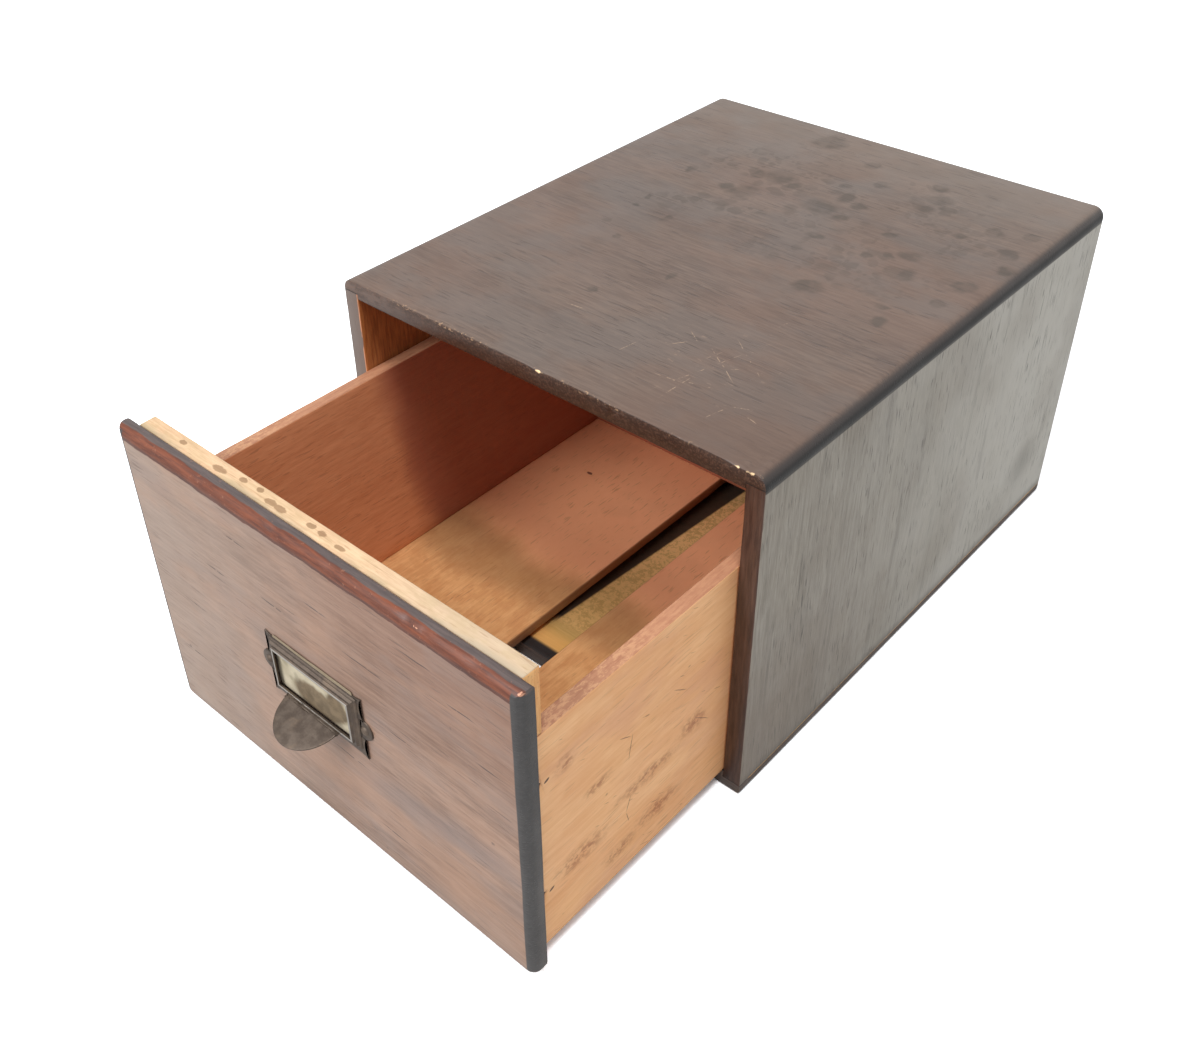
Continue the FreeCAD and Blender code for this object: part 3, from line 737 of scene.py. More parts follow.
# Old water marks on the case's top: place, and radii along both axes.
WATER_MARKS = (
    (-31, 132, 10, 11), (4, 119, 5, 5), (22, 100, 5, 4), (7, 88, 4, 4), (54, 103, 9, 8), (63, 95, 6, 4),
    (48, 116, 5, 4), (10, 58, 11, 9), (26, 54, 4, 5), (55, 52, 4, 4), (81, 74, 4, 4), (93, 87, 6, 6),
    (109, 94, 5, 4), (109, 71, 6, 6), (79, 21, 8, 8), (106, 7, 4, 4), (108, 29, 7, 6), (115, 54, 5, 6),
    (89, -11, 4, 3), (94, -24, 5, 5), (52, -17, 8, 7), (49, 5, 6, 4), (-26, 75, 9, 10), (-31, 47, 9, 10),
    (-42, 49, 5, 5), (-65, 10, 2, 3), (-66, -22, 2, 3), (-64, -1, 2, 2), (-42, -4, 3, 3), (-49, -34, 2, 3),
    (26, 28, 6, 4), (26, 12, 4, 4), (73, 40, 6, 5), (52, 90, 6, 5), (57, 26, 4, 4), (16, 76, 5, 8),
    (-70, 54, 4, 5), (-32, 28, 5, 5), (-37, 71, 5, 6), (-14, 71, 5, 6), (26, 71, 5, 5), (66, 33, 3, 3),
    (-2, -50, 3, 4), (-23, -83, 3, 4))

# Light scratches on the case's top: place, half length and turn in degrees.
TOP_SCRATCHES = (
    (58, -107, 30, 74), (68, -86, 20, -37), (62, -97, 19, -35), (65, -116, 13, 15), (65, -99, 15, 31),
    (58, -122, 14, 88), (55, -94, 7, 72), (96, -123, 4, -12), (87, -119, 8, 23), (38, -94, 8, 55),
    (64, -51, 8, 81), (40, -87, 7, -33), (22, -111, 7, 82), (82, -127, 9, 76), (-19, -100, 8, 7),
    (85, -87, 7, 85), (51, -120, 8, 7))


def bare_wood(look, axis, dark, middle, light, offset=(0, 0, 0)):
    """Unstained wood, as the case has inside."""
    grain = Grain(look, axis, offset, 4, 0.4)
    return grain.wood(dark, middle, light).over(dark, grain.pores, 0.5)


def top_look():
    """Brown stain gone grey on the case's top: water marks, fine scratches and chipped front arris, with
    painted sheen paler towards the rear and painted shade on the rounded side edges and in the seams over the
    sides.
    """
    look = Look("case_top_stain")
    grain = Grain(look, "x", (0.2, 0, 0), pore_length=5, pore_width=0.4, figure_size=22)
    stain = grain.wood((69, 53, 46), (95, 78, 69), (118, 99, 86), 0.2, 0.34)
    stain.over((110, 84, 70), look.cloud(70, 0.38, 0.62), 0.35)  # clouded
    stain.over((92, 86, 82), look.cloud(42, 0.46, 0.62, ((1.6, 1, 1), (0.5, 0.3, 0)), 4, 0.6), 0.35)  # greyed
    stain.over((82, 62, 52), look.along(1, -150, -60, 1, 0), look.along(0, 0, 110), 0.55)  # front edge
    stain.over((126, 114, 102), look.along(1, 60, 150), 0.35)  # paler towards the rear: painted sheen
    stain.over((58, 46, 41), grain.pores, 0.55)

    ragged = look.shift(4, 5, 3, place=look.shift(8, 14))
    marks = [look.spot((x, y, TOP_MARKS), (wide * 1.15, deep * 1.15, 12), 0.5, place=ragged)
             for x, y, wide, deep in WATER_MARKS]
    zone = look.most(look.spot((45, 50, TOP_MARKS), (80, 90, 30), 0.5),
                     look.spot((-34, 60, TOP_MARKS), (60, 80, 30), 0.5))
    patch = look.cloud(22, 0.44, 0.54)
    drops = look.rise(look.cells(9, ragged), 0.34, 0.46, 1, 0)
    specks = look.rise(look.cells(4.5, look.shift(2, 4, 3)), 0.24, 0.36, 1, 0)
    marked = look.most(look.times(look.most(drops, look.times(specks, 0.8)), zone, patch, 0.6), *marks)
    faint = look.cloud(9, 0.38, 0.6, detail=4, start=0.5, end=1)
    marked = look.times(marked, faint)
    stain.over((64, 58, 52), marked, 0.6)

    broken = look.cloud(5, 0.46, 0.58, rough=0.7)
    line_place = look.shift(1.2, 12)
    scratches = [look.spot((x, y, TOP_MARKS), (length, 0.32, 4), 0.6, (0, 0, math.radians(turn)), line_place)
                 for x, y, length, turn in TOP_SCRATCHES]
    stain.over((166, 140, 116), look.most(*scratches), broken, 0.7)
    scuffs = look.cloud(2.6, 0.62, 0.7, ((3, 1, 1),), 3, 0.7)
    scuffs = look.times(scuffs, look.spot((52, -96, TOP_MARKS), (62, 60, 20), 0.7))
    stain.over((144, 120, 102), scuffs, 0.35)

    # darker stain on the rounded side edges, deepened with painted shade where they turn down, and a painted
    # shadow in the seam over the sides
    corner = look.gauge(look.aside(), 118.6, 121.6)
    stain.over((38, 33, 32), corner, 0.9)
    stain.over((9, 7, 6), look.along(2, 177.6, 180.2, 1, 0), corner)  # painted shadow in the seam over the side

    front = look.facing((0, -1, 0))
    edge = Layers(look, (100, 84, 76)).over((58, 40, 31), look.along(0, -115, -45))
    edge.over((44, 28, 22), look.cloud(3, 0.42, 0.6, ((3, 1, 1),), 4, 0.7), 0.5)  # coarse streaks
    edge.over((112, 82, 66), look.cloud(0.9, 0.48, 0.62, rough=0.7), 0.4)  # specks
    joint = look.times(look.along(2, 175.9, 176.5, 1, 0), look.gauge(look.aside(), 113.4, 113.6))
    lower = look.along(2, 172.9, 173.5, 1, 0)
    edge.over((24, 15, 12), look.most(joint, lower), 0.8)
    stain.over(edge, front)

    arris = look.times(look.between(1, -152, -149.9), look.between(2, 180.6, 183))
    flecks = look.cloud(1.6, 0.56, 0.62, rough=0.7)
    stain.over((170, 138, 108), arris, flecks, look.cloud(20, 0.44, 0.54, detail=2), 0.7)  # wearing
    chips = [look.spot((place, -151.3, 181.5), (length * 0.35 + depth * 1.6, 0.7 + depth, 0.5 + depth), 0.25,
                       place=look.shift(1.8, 2))
             for place, length, depth in FRONT_CHIPS if depth > 0.8]
    stain.over((240, 205, 160), look.most(*chips))

    under = look.times(look.facing((0, 0, -1)), look.along(1, -150.6, -149.8))
    stain.over(bare_wood(look, "x", (120, 62, 38), (150, 86, 52), (175, 108, 68)), under)
    dull = look.cloud(30, 0.3, 0.7, detail=4, start=0.36, end=0.5)
    look.gloss(look.calc("ADD", dull, look.times(marked, 0.12)))
    return grain.stained(stain)


def side_look():
    """The stain on the case's sides, with the grain upright, and bare wood inside; its grey is partly painted
    sheen.
    """
    look = Look("case_side_stain")
    grain = Grain(look, "z", (0, 0.3, 0.1), pore_length=4.5, pore_width=0.32, figure_size=20)
    stain = grain.wood((104, 96, 84), (137, 129, 118), (164, 157, 145), 0.28, 0.3)
    stain.over((202, 199, 190), look.along(1, -150, 150), 0.8)  # paler at the rear: painted sheen
    stain.over((112, 96, 84), look.along(2, 30, 120, 1, 0), look.along(1, -150, 10, 1, 0), 0.45)  # darker low at the front: painted shade, where the sheen is least
    stain.over((124, 112, 98), look.cloud(60, 0.45, 0.7), 0.3)  # warm
    stain.over((92, 86, 78), look.cloud(7, 0.56, 0.7, ((1, 1, 14),), 4, 0.6), 0.3)  # streaks
    stain.over((58, 52, 46), grain.pores, 0.7)
    stain.over((92, 88, 82), look.spot((123, 112, 40), (20, 26, 20), 0.9), 0.35)  # smudge
    stain.over((24, 20, 18), look.along(2, 173.9, 174.7), 0.9)  # painted shadow under the top's overhang
    stain.over((84, 78, 72), look.along(2, 6, 12, 1, 0), 0.5)  # foot

    front = look.facing((0, -1, 0))
    left = look.along(0, -10, 10, 1, 0)
    edge_grain = Grain(look, "z", (0.4, 0, 0), figure_size=9)
    edge = edge_grain.wood((42, 24, 18), (66, 42, 33), (88, 62, 50))
    edge.over((122, 108, 100), left, 0.75)
    stain.over(edge, front)
    inner = look.between(0, -WALL_INNER - 0.7, WALL_INNER + 0.7, 0.2)
    stain.over((200, 140, 105), front, inner, look.cloud(6, 0.45, 0.56, ((1, 1, 3),), 3, 0.7), left)  # flecks
    inside = look.times(look.facing((-1, 0, 0)), look.between(0, 0, WALL_INNER + 2))
    inside = look.most(inside, look.times(look.facing((1, 0, 0)), look.between(0, -WALL_INNER - 2, 0)))
    bare = bare_wood(look, "z", (132, 70, 34), (168, 98, 50), (196, 128, 74), (0.1, 0.2, 0))
    stain.over(bare, inside)
    look.patchy_gloss(26, 0.34, 0.5, 4)
    return grain.stained(stain)


def bottom_look():
    """The case's bottom: stained outside, and inside bare, yellowed and speckled, paler deeper in (partly
    painted light), with a painted shadow of the left floor plank in the slot.
    """
    look = Look("case_bottom_stain")
    grain = Grain(look, "x", (0.3, 0.1, 0), figure_size=18)
    stain = grain.wood((66, 52, 46), (84, 70, 62), (102, 88, 80))
    stain.over((44, 36, 32), grain.pores, 0.6)
    up = look.times(look.facing((0, 0, 1)), look.along(1, -146, -143))
    bare = grain.wood((168, 134, 72), (186, 150, 86), (208, 170, 104), 0.3, 0.3)
    speckles = look.cloud(2.4, 0.47, 0.56, detail=4, rough=0.75)
    deeper_in = look.along(1, -132, -122)
    bare.over((250, 186, 106), look.along(1, -128, -140), 0.6)
    # paler deeper in: partly painted light, making up for the shade inside the case
    pale = look.along(1, -120, -20)
    bare.over((250, 196, 134), deeper_in, look.calc("MULTIPLY_ADD", pale, 0.4, 0.35))
    bare.over((160, 126, 66), speckles, deeper_in, 0.5)
    # painted shadow of the left floor plank on the floor seen through the slot, widening deeper in
    shade = look.calc("MULTIPLY_ADD", look.axes[1], -0.069, look.axes[0])
    shade = look.times(look.gauge(shade, -3.2, -1.8, 1, 0), deeper_in)
    bare.over((22, 14, 20), shade, 0.95)
    stain.over(bare, up)
    stain.over((38, 33, 32), look.facing((0, 0, 1)), look.along(1, -146, -143, 1, 0))  # dark lip at the front: dark stain, partly painted shade
    look.patchy_gloss(20, 0.45, 0.62)
    return grain.stained(stain)


def panel_look():
    """The thin back panel, washed brown."""
    look = Look("case_panel_wash")
    grain = Grain(look, "z", (0.15, 0, 0.4), pore_length=7, pore_width=0.6, figure_size=30)
    wash = grain.wood((84, 58, 42), (108, 80, 60), (132, 104, 80), 0.7, 0.4)
    wash.over((52, 36, 28), grain.pores, 0.6)
    wash.over((74, 60, 50), look.cloud(60, 0.45, 0.7), 0.35)  # soiled
    look.patchy_gloss(20, 0.5, 0.7)
    return grain.stained(wash)


# ---------------------------------------------------------------- the drawer's looks

# The drawer front's face, top and half width, and where the marks on it and on the right side lie.
FRONT_FACE = PLATE_FACE / MM
FRONT_TOP, FRONT_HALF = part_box("drawer_front")[1].z / MM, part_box("drawer_front")[1].x / MM
FRONT_MARKS = -283
SIDE_MARKS = 113

# Brown water spots on the inner front's top edge: place along it and across it, and radii.
EDGE_SPOTS = (
    (-87, -270.3, 2.6, 1.6), (-60, -271.6, 5.0, 1.9), (-46.5, -269.6, 2.6, 1.6), (-36, -269.2, 2.4, 1.5),
    (-26.5, -271.4, 4.0, 1.8), (-20.5, -271.6, 4.2, 1.7), (-3, -270.2, 3.0, 1.6), (4, -270.6, 2.8, 1.6),
    (15.5, -271.6, 3.2, 1.3))

# Bare wood knocked clean on the drawer front's top edge: place along, behind the face and up, and radii.
FRONT_BARE = ((117.8, 2.8, 166.8, (1.2, 2.6, 0.7)), (118.8, 1.0, 164.8, (0.6, 1.3, 1.8)),
              (68, 1.3, 166.3, (1.2, 0.5, 0.4)))

# Hair cracks along the drawer front's grain: place along and up, and half length.
FRONT_CRACKS = (
    (-22, 123, 12), (34, 126, 15), (-60, 119, 10), (9, 139, 9), (89, 139, 10), (67, 150, 12), (-97, 47, 13),
    (16, 61, 14), (52, 98, 9), (-84, 84, 8), (101, 118, 7), (40, 30, 12), (-40, 146, 9))


def front_look():
    """The drawer front's faded stain, with its rubbed top round and dark ends, and painted sheen: paler at the
    left and a grey band low at the right.
    """
    look = Look("drawer_front_stain")
    grain = Grain(look, "x", (0.1, 0.2, 0.3), pore_length=7, pore_width=0.36, figure_size=18)
    stain = grain.wood((98, 72, 56), (134, 104, 87), (164, 135, 117), 0.26, 0.34)
    stain.over((162, 146, 134), look.along(0, -115, 30, 1, 0), 0.48)  # paler at the left: painted sheen
    stain.over((128, 92, 74), look.along(2, 80, 160), look.along(0, -40, 90), 0.65)  # redder at the upper right
    warm = look.cloud(30, 0.45, 0.62, ((2.4, 1, 1), (0.2, 0, 0.1)), 4, 0.6)
    stain.over((172, 134, 110), warm, 0.35)
    stain.over((132, 114, 106), look.cloud(14, 0.48, 0.66, ((4, 1, 1), (0.7, 0, 0.6)), 4, 0.6), 0.35)  # clouded
    band_place = look.shift(14, 30)
    # painted reflection: a greyer band of sheen low across the right
    band = look.spot((72, FRONT_MARKS, 62), (68, 20, 13), 0.7, (0, math.radians(-6), 0), band_place)
    stain.over((120, 106, 102), band, 0.5)
    browner = look.spot((92, FRONT_MARKS, 26), (60, 20, 26), 0.8, place=band_place)
    stain.over((164, 128, 104), browner, 0.35)
    stain.over((96, 76, 66), grain.pores, 0.6)
    stain.over((92, 74, 66), look.rise(look.cells(20, look.shift(3, 4)), 0.03, 0.055, 1, 0), 0.6)  # dents
    wavering = look.shift(1.6, 14)
    cracks = [look.spot((x, FRONT_MARKS, z), (length, 3, 0.42), 0.6, place=wavering)
              for x, z, length in FRONT_CRACKS]
    stain.over((58, 44, 40), look.most(*cracks), look.cloud(4, 0.36, 0.48, rough=0.7), 0.9)  # broken cracks
    around = look.spot((0, FRONT_MARKS, 87), (48, 12, 32), 0.8, place=band_place)
    stain.over((150, 130, 124), around, 0.25)

    ragged = look.noise(9, ((2, 1, 1),), 4, 0.65)
    height = look.sway(look.axes[2], 3.2, ragged)
    on_round = look.gauge(height, FRONT_TOP - 4.9, FRONT_TOP - 4.3)
    red = Grain(look, "x", (0.6, 0.1, 0), figure_size=7)
    rubbed = red.wood((60, 25, 13), (92, 40, 20), (124, 64, 36), 0.5, 0.5)
    stain.over(rubbed, on_round)
    lower_rim = look.times(on_round, look.gauge(height, FRONT_TOP - 3.6, FRONT_TOP - 2.6, 1, 0))
    stain.over((62, 36, 30), lower_rim, 0.6)
    slate = red.wood((58, 48, 48), (76, 66, 65), (98, 84, 80), 0.4, 0.4)
    patchy = look.noise(14, ((2.2, 1, 1), (0.3, 0, 0)), 4, 0.6)
    crest = look.gauge(look.sway(look.axes[1], 3.0, patchy), FRONT_FACE + 4.6, FRONT_FACE + 5.1)
    crest = look.times(crest, look.along(2, FRONT_TOP - 3, FRONT_TOP - 2))
    stain.over(slate, crest)
    bare_flecks = look.times(on_round, look.cloud(2.4, 0.62, 0.68, detail=4, rough=0.7))
    stain.over((156, 108, 86), bare_flecks, 0.35)

    across = look.aside()
    wander = look.sway(across, 0.8, look.noise(24, detail=2))
    ends = look.gauge(wander, FRONT_HALF - 4.3, FRONT_HALF - 3.7)
    dark = red.wood((45, 43, 43), (54, 53, 53), (66, 64, 64), 0.3, 0.3)
    stain.over(dark, ends, look.along(2, FRONT_TOP - 2.2, FRONT_TOP - 1.2, 1, 0))
    stain.over((96, 76, 66), look.along(2, 7, 10, 1, 0), 0.6)  # along the foot
    nicks = [look.spot((x, FRONT_MARKS + y, z), sizes, 0.3, place=look.shift(1.4, 1.6))
             for x, y, z, sizes in FRONT_BARE]
    stain.over((206, 150, 120), look.most(*nicks), 0.85)
    back = look.along(1, FRONT_FACE + 7, FRONT_FACE + 7.6)
    stain.over((104, 78, 64), back, look.facing((0, 1, 0)))
    look.patchy_gloss(24, 0.38, 0.52, 4)
    return grain.stained(stain)


def inner_front_look():
    """Pale bare wood: cream on the top edge with old water spots, tan on the ends, redder inside."""
    look = Look("inner_front_wood")
    grain = Grain(look, "x", (0, 0.4, 0.2), pore_length=4, pore_width=0.4)
    wood = grain.wood((176, 110, 70), (198, 134, 92), (218, 156, 112), 0.4, 0.4)
    top = look.facing((0, 0, 1), 0.3, 0.6)
    cream = grain.wood((190, 154, 119), (210, 175, 139), (227, 195, 158), 0.4, 0.5)
    grubby = look.cloud(15, 0.42, 0.62, ((2.5, 1, 1),), 4, 0.6)
    cream.over((150, 138, 112), grubby, look.along(1, -274.8, -270.5, 1, 0), 0.7)  # seam side
    cream.over((176, 162, 142), look.along(0, 10, 100), 0.55)  # dark end
    cream.over((178, 156, 118), look.cloud(6, 0.44, 0.62, ((2, 1, 1), (0.3, 0, 0)), 4, 0.65), 0.35)  # dulled
    ragged = look.shift(1.4, 2.2, 3)
    spots = [look.spot((x, y, 166.5), (wide, deep, 3), 0.25, place=ragged) for x, y, wide, deep in EDGE_SPOTS]
    cream.over((126, 94, 62), look.most(*spots), 0.72)
    wood.over(cream, top)
    end = look.gauge(look.aside(), 112.2, 112.8)
    across = Grain(look, "z", (0.2, 0.1, 0), figure_size=8)
    tan = across.wood((222, 154, 88), (242, 178, 108), (250, 198, 132))
    wood.over(tan, end, look.calc("SUBTRACT", 1.0, top))
    wood.over((130, 88, 60), grain.pores, 0.35)
    look.patchy_gloss(20, 0.5, 0.65)
    return grain.bare(wood, 0.05)


# Soiled patches on the outside of the drawer's right side: place along it and up, half length and half height.
SOIL = (
    (-247, 46, 22, 9), (-224, 25, 15, 7), (-206, 56, 30, 6), (-256, 107, 9, 6), (-199, 29, 22, 8),
    (-176, 62, 14, 8), (-238, 78, 12, 4))

# Thin dark scratches there: centre, half sizes and turn.
SCRATCHES = (((SIDE_MARKS, -221, 91), (4, 4.5, 0.28), (math.radians(-30), 0, 0)),
             ((SIDE_MARKS, -217.5, 83), (4, 0.28, 8), (math.radians(-10), 0, 0)),
             ((SIDE_MARKS, -218.5, 49), (4, 0.28, 5), (math.radians(-20), 0, 0)),
             ((SIDE_MARKS, -219, 41), (4, 0.25, 4), (math.radians(15), 0, 0)),
             ((SIDE_MARKS, -186, 90), (4, 6, 0.25), (math.radians(-35), 0, 0)),
             ((SIDE_MARKS, -170, 60), (4, 8, 0.25), (math.radians(-40), 0, 0)))

# Two dark nail holes a little behind the nails: places along and up.
OLD_HOLES = ((-265.6, 106.4), (-265.2, 41.5))


def box_side_look():
    """The drawer's sides and back: tan and speckled outside, red-brown inside with a painted shadow of the
    case's top deeper in, pinkish on the top edges.
    """
    look = Look("drawer_box_wood")
    grain = Grain(look, "y", (0, 0.1, 0.2), pore_length=5, pore_width=0.4, figure_size=22)
    wood = grain.wood((216, 150, 95), (243, 185, 129), (253, 208, 156), 0.22, 0.14)
    wood.over((222, 152, 97), look.cloud(30, 0.44, 0.62, ((1, 2, 1),), 4, 0.6), 0.3)  # orange
    wood.over((210, 146, 116), look.cloud(24, 0.5, 0.66, ((1, 3, 1), (0, 0.4, 0.2)), 4, 0.6), 0.3)  # rosy
    wood.over((150, 98, 62), grain.pores, 0.3)
    ragged = look.shift(3, 4, 3, place=((1, 1.6, 1),))
    wander = look.shift(4, 7, 3)
    soil_zone = look.most(*[look.spot((SIDE_MARKS, y, z), (12, long, high), 0.9, place=wander)
                            for y, z, long, high in SOIL])
    fine = look.noise(1.7, ((1, 1.5, 1),), 3, 0.55)
    wood.over((150, 78, 30), look.rise(fine, 0.4, 0.6, 0.25, 1), soil_zone, 0.68)  # soiled
    specks = look.rise(look.cells(12, ragged), 0.045, 0.08, 1, 0)
    patch = look.cloud(30, 0.48, 0.58, detail=2)
    wood.over((122, 72, 40), specks, patch, 0.65)
    dashes = look.cloud(1.2, 0.7, 0.73, ((1, 9, 1), (0, 0.3, 0), (math.radians(-24), 0, 0)), 2)
    wood.over((140, 84, 46), dashes, patch, 0.6)
    scratch_place = look.shift(0.8, 6)
    scratches = [look.spot(centre, radii, 0.4, turn, scratch_place) for centre, radii, turn in SCRATCHES]
    wood.over((104, 52, 26), look.most(*scratches), 0.75)
    holes = [look.spot((SIDE_MARKS, y, z), (4, 1.9, 0.85), 0.45, (math.radians(22), 0, 0))
             for y, z in OLD_HOLES]
    wood.over((40, 16, 6), look.most(*holes), 0.92)
    wood.over((192, 136, 92), look.along(1, -175, -140), 0.35)  # rear

    inside = look.between(0, -112, 112, 0.6)
    red = Grain(look, "y", (0.5, 0.2, 0.1), pore_length=3.5, pore_width=0.35, figure_size=26)
    inner = red.wood((194, 122, 81), (220, 148, 105), (232, 166, 123), 0.32, 0.26)
    # the slanted line along which the case top's shadow falls on the inner faces
    shadow_slant = look.calc("MULTIPLY_ADD", look.axes[2], 0.23, look.axes[1])
    wavering = look.sway(shadow_slant, 24, look.noise(40, detail=2))
    inner.over((140, 68, 58), look.gauge(wavering, -116, -96), 0.7)  # painted shadow of the case's top, deeper in behind a slanted edge
    inner.over((120, 66, 44), red.pores, 0.3)
    wood.over(inner, inside)
    top = look.facing((0, 0, 1), 0.4, 0.75)
    pink = red.wood((150, 98, 72), (168, 115, 86), (188, 138, 106), 0.3, 0.4)
    mottle = look.cloud(1.5, 0.44, 0.6, ((1, 2.4, 1),), 4, 0.65)
    pink.over((218, 170, 128), mottle, look.along(1, -236, -184, 0.5, 0.12))  # rubbed
    wood.over(pink, top)
    look.patchy_gloss(24, 0.48, 0.62)
    return grain.bare(wood, 0.04)


def floor_look():
    """The drawer's floor: bright orange tan near the front, with a painted soft shadow band across it, and
    pinker and brighter behind, partly painted light.
    """
    look = Look("drawer_floor_wood")
    grain = Grain(look, "y", (0.3, 0.3, 0), pore_length=4, pore_width=0.4, figure_size=30)
    wood = grain.wood((206, 144, 90), (228, 168, 108), (246, 196, 138), 0.32, 0.3)
    wood.over((196, 130, 78), look.cloud(7, 0.42, 0.6, ((1, 1.5, 1),), 5, 0.65), 0.35)  # mottled
    soft = look.shift(34, 60)
    along = look.add("ShaderNodeSeparateXYZ", {"Vector": soft}).outputs
    wood.over((250, 176, 132), look.gauge(along[1], -128, -84), 0.85)  # pinker and brighter behind, partly painted light against the shade inside the case
    # painted shade: a soft darker band across the floor
    band = look.times(look.gauge(along[1], -150, -128), look.gauge(along[1], -116, -96, 1, 0))
    wood.over((156, 112, 72), band, 0.6)
    wood.over((214, 150, 112), look.cloud(28, 0.5, 0.7), look.gauge(along[1], -100, -60), 0.25)  # paler
    wood.over((132, 84, 56), grain.pores, 0.35)
    nick = look.spot((-73, -30, 18.4), (2.2, 1.2, 3), 0.3, place=look.shift(1, 2))
    wood.over((86, 48, 34), nick, 0.85)
    across = look.aside()
    wood.over((128, 86, 56), look.gauge(across, 11.6, 12.4, 1, 0), 0.8)  # along the slot
    look.patchy_gloss(24, 0.45, 0.6)
    return grain.bare(wood, 0.04)


# ---------------------------------------------------------------- metal and card

def bronze_look():
    """Stamped sheet gone dark and blotchy, with the proud edges rubbed bright and a painted highlight along
    them.
    """
    look = Look("aged_bronze_sheet", roughness=0.5, metallic=0.75)
    blotch = look.cloud(5, 0.35, 0.65, detail=4, rough=0.6)
    metal = Layers(look, (84, 73, 65)).over((100, 89, 80), blotch)
    fine = look.cloud(1.1, 0.4, 0.65, rough=0.7)
    metal.over((84, 74, 66), fine, 0.35)
    metal.over((138, 118, 98), look.cloud(8, 0.5, 0.7, ((1, 1, 1), (0.3, 0, 0.2)), 3), 0.3)  # warm
    # the rim's crest rubbed bright, with a painted highlight along it
    proud = look.along(1, FRONT_FACE - 3.1, FRONT_FACE - 3.35)
    proud = look.times(proud, look.along(1, FRONT_FACE - 3.6, FRONT_FACE - 3.5))
    metal.over((184, 180, 174), proud, 0.7)
    hollow = look.times(look.along(1, FRONT_FACE - 0.7, FRONT_FACE - 1.6, 1, 0), look.cloud(6, 0.35, 0.6))
    metal.over((62, 54, 50), hollow, 0.4)
    look.colour(metal)
    look.gloss(look.rise(blotch, 0, 1, 0.42, 0.6))
    look.relief(fine, 0.03, 0.4)
    return look


def steel_look():
    """Nail and screw heads, dull and browned."""
    look = Look("dull_nail_steel", roughness=0.5, metallic=0.8)
    rust = look.cloud(1.2, 0.42, 0.6, detail=4, rough=0.7)
    look.colour(Layers(look, (96, 88, 82)).over((74, 52, 40), rust))
    look.gloss(look.rise(rust, 0, 1, 0.42, 0.75))
    look.relief(rust, 0.03, 0.5)
    return look


CARD_MARKS = -283.5

# Grey smudges on the card: place along and up, and radii.
SMUDGES = ((-19.5, 92.5, (2.6, 4, 3.4)), (-13, 88, (2.4, 4, 3.6)), (-17, 85, (2, 4, 2)))


def card_look():
    """Old card: cream, with grey smudges and a brown stain over its middle and lower right."""
    look = Look("stained_card", roughness=0.8, specular=0.3)
    paper = Layers(look, (176, 165, 141)).over((200, 190, 167), look.cloud(9, 0.3, 0.7, detail=4))
    ragged = look.shift(3.0, 4, 4)
    stain = look.most(look.spot((0.5, CARD_MARKS, 82.5), (18.5, 6, 9.5), 0.3, place=ragged),
                      look.spot((13, CARD_MARKS, 87), (8, 6, 9), 0.3, place=ragged))
    inner = look.cloud(5, 0.35, 0.65, ragged, 4, 0.6)
    brown = Layers(look, (84, 68, 51)).over((116, 97, 75), inner)
    paper.over(brown, stain, 0.9)
    smudges = [look.spot((x, CARD_MARKS, z), sizes, 0.7, place=ragged) for x, z, sizes in SMUDGES]
    paper.over((140, 132, 112), look.most(*smudges), 0.5)
    paper.over((126, 110, 90), look.along(2, 102.4, 103), 0.85)  # lip
    fibres = look.noise(0.5, detail=2)
    paper.over((150, 138, 112), fibres, 0.15)
    look.colour(paper)
    look.relief(fibres, 0.02, 0.3)
    return look


# ---------------------------------------------------------------- the whole

top_board = case_top()
side_boards = [case_side("case_left_board", "case_left_side"), case_side("case_right_board", "case_right_side")]
bottom_board = case_bottom()
front_board = drawer_front()
inner_front_board = box_board("inner_front_board", "inner_front", "pale_wood", 0, 2)
box_boards = [box_board("drawer_left_board", "drawer_left_side", "box_wood", 1, 2),
              box_board("drawer_right_board", "drawer_right_side", "box_wood", 1, 2),
              box_board("drawer_rear_board", "drawer_back", "box_wood", 0, 2)]
floor_boards = [floor_board("left_floor_plank", "floor_left_board"),
                floor_board("right_floor_plank", "floor_right_board")]
holder = label_holder()
card = label_card()

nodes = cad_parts
fasteners = ("case_top_nails", "case_bottom_nails", "case_back_brads", "side_front_nails", "side_back_nails",
             "floor_nails", "front_screws")
dress(top_look(), top_board)
dress(side_look(), *side_boards)
dress(bottom_look(), bottom_board)
dress(panel_look(), nodes["case_back"])
dress(front_look(), front_board)
dress(inner_front_look(), inner_front_board)
dress(box_side_look(), *box_boards)
dress(floor_look(), *floor_boards)
dress(bronze_look(), holder, nodes["label_tacks"])
dress(card_look(), card)
dress(steel_look(), *[nodes[name] for name in fasteners])


# ---------------------------------------------------------------- floor, light and camera

def plain_floor():
    """A plane that looks white to the camera and lights the piece as a grey one."""
    clear_selection()
    bpy.ops.mesh.primitive_plane_add(size=8, location=(0, 0, -0.0002))
    floor = bpy.context.object
    floor.name = "studio_floor"
    bpy.ops.object.mode_set(mode="EDIT")
    bpy.ops.mesh.select_all(action="SELECT")
    bpy.ops.mesh.subdivide(number_cuts=4)
    bpy.ops.object.mode_set(mode="OBJECT")
    settle(floor)
    sweep = Look("white_sweep", roughness=0.9, specular=0.1)
    seen = sweep.add("ShaderNodeLightPath").outputs["Is Camera Ray"]
    lit, white = (0.6, 0.6, 0.6, 1), (1.6, 1.64, 1.68, 1)
    sweep.feed(sweep.shader.inputs["Base Color"], sweep.blend(seen, lit, white))
    dress(sweep, floor)


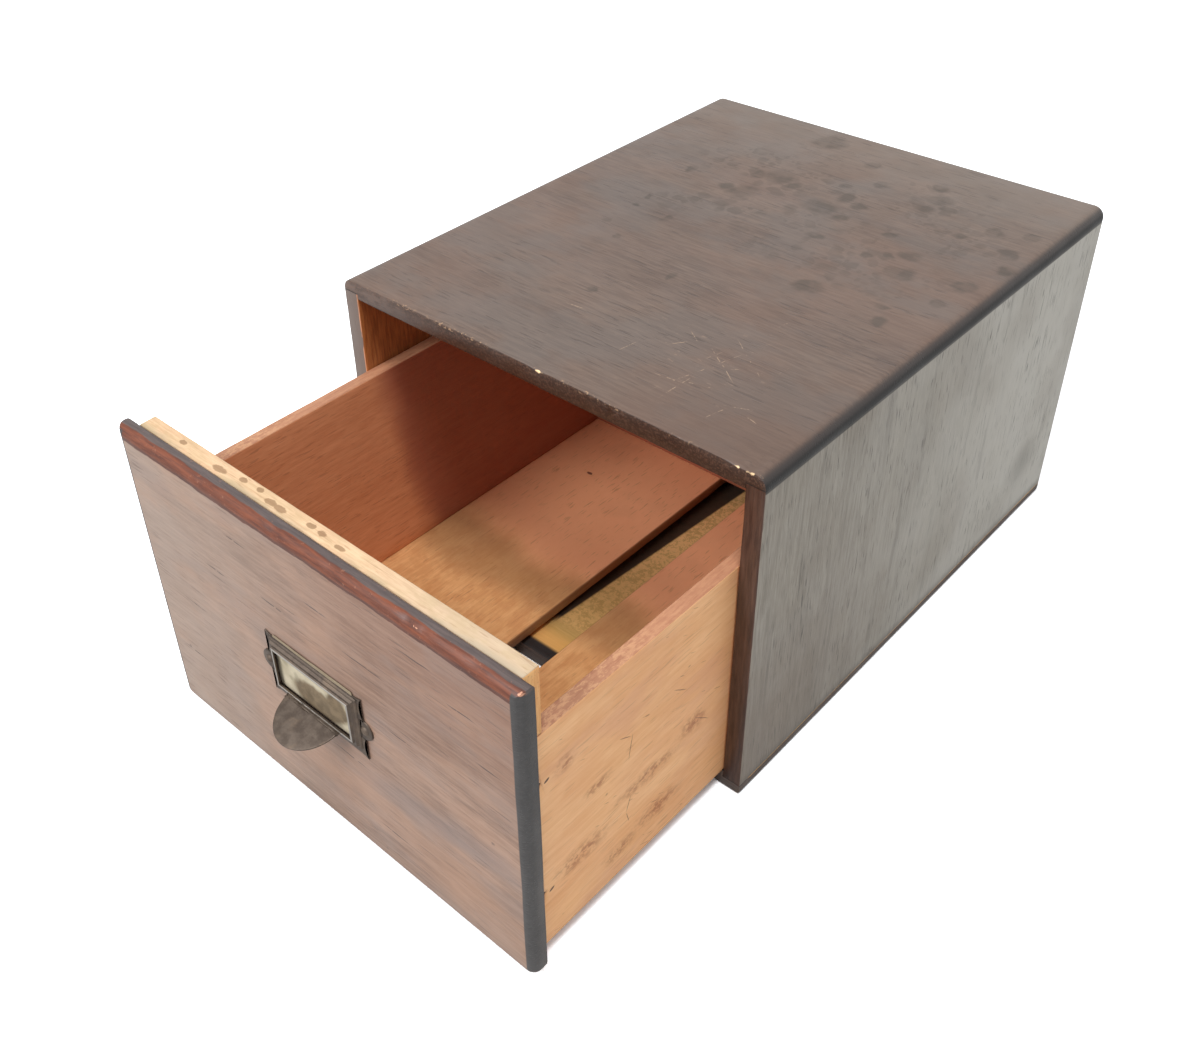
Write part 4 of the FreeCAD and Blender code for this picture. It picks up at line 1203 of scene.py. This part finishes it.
def white_surroundings(strength):
    """A room that is white where it is seen, and of a set strength where it lights the piece."""
    world = bpy.data.worlds.new("white_room")
    bpy.context.scene.world = world
    world.use_nodes = True
    tree = world.node_tree
    background = tree.nodes["Background"]
    background.inputs["Color"].default_value = (1, 1, 1, 1)
    background.inputs["Strength"].default_value = strength
    seen = tree.nodes.new("ShaderNodeBackground")
    seen.inputs["Color"].default_value = (1, 1, 1, 1)
    seen.inputs["Strength"].default_value = 1.0
    path = tree.nodes.new("ShaderNodeLightPath")
    rays = [path.outputs[name] for name in ("Is Camera Ray", "Is Glossy Ray", "Is Transmission Ray")]
    while len(rays) > 1:
        either = tree.nodes.new("ShaderNodeMath")
        either.operation = "MAXIMUM"
        tree.links.new(rays.pop(), either.inputs[0])
        tree.links.new(rays.pop(), either.inputs[1])
        rays.append(either.outputs[0])
    mix = tree.nodes.new("ShaderNodeMixShader")
    tree.links.new(rays[0], mix.inputs[0])
    tree.links.new(background.outputs[0], mix.inputs[1])
    tree.links.new(seen.outputs[0], mix.inputs[2])
    tree.links.new(mix.outputs[0], tree.nodes["World Output"].inputs["Surface"])


def soft_light(name, place, target, size, power):
    light = bpy.data.lights.new(name, "AREA")
    light.shape = "RECTANGLE"
    light.size, light.size_y = size
    light.energy = power
    lamp = bpy.data.objects.new(name, light)
    bpy.context.scene.collection.objects.link(lamp)
    lamp.location = place
    lamp.rotation_euler = (Vector(target) - Vector(place)).to_track_quat("-Z", "Y").to_euler()


def point_camera():
    """The camera: in front, above and to the right, turned a little on its axis."""
    camera = bpy.data.cameras.new("camera")
    camera.sensor_width = 36
    camera.lens = 39.041
    camera.shift_x = 0.037383
    camera.shift_y = -0.057858
    camera.clip_start = 0.01
    holder = bpy.data.objects.new("camera", camera)
    bpy.context.scene.collection.objects.link(holder)
    holder.location = (0.33087, -0.486298, 0.481422)
    back = Vector((0.55431067, -0.58635157, 0.59070425))
    turned = back.to_track_quat("Z", "Y") @ Quaternion((0, 0, 1), math.radians(-1.736))
    holder.rotation_mode = "QUATERNION"
    holder.rotation_quaternion = turned
    bpy.context.scene.camera = holder


plain_floor()
white_surroundings(0.5)
soft_light("overhead_light", (0.45, -0.5, 1.65), (0, -0.15, 0.1), (0.45, 0.45), 15)
soft_light("front_light", (-0.35, -1.85, 1.55), (0, -0.15, 0.08), (0.9, 1.2), 40)
point_camera()
bpy.context.scene.view_settings.view_transform = "Standard"
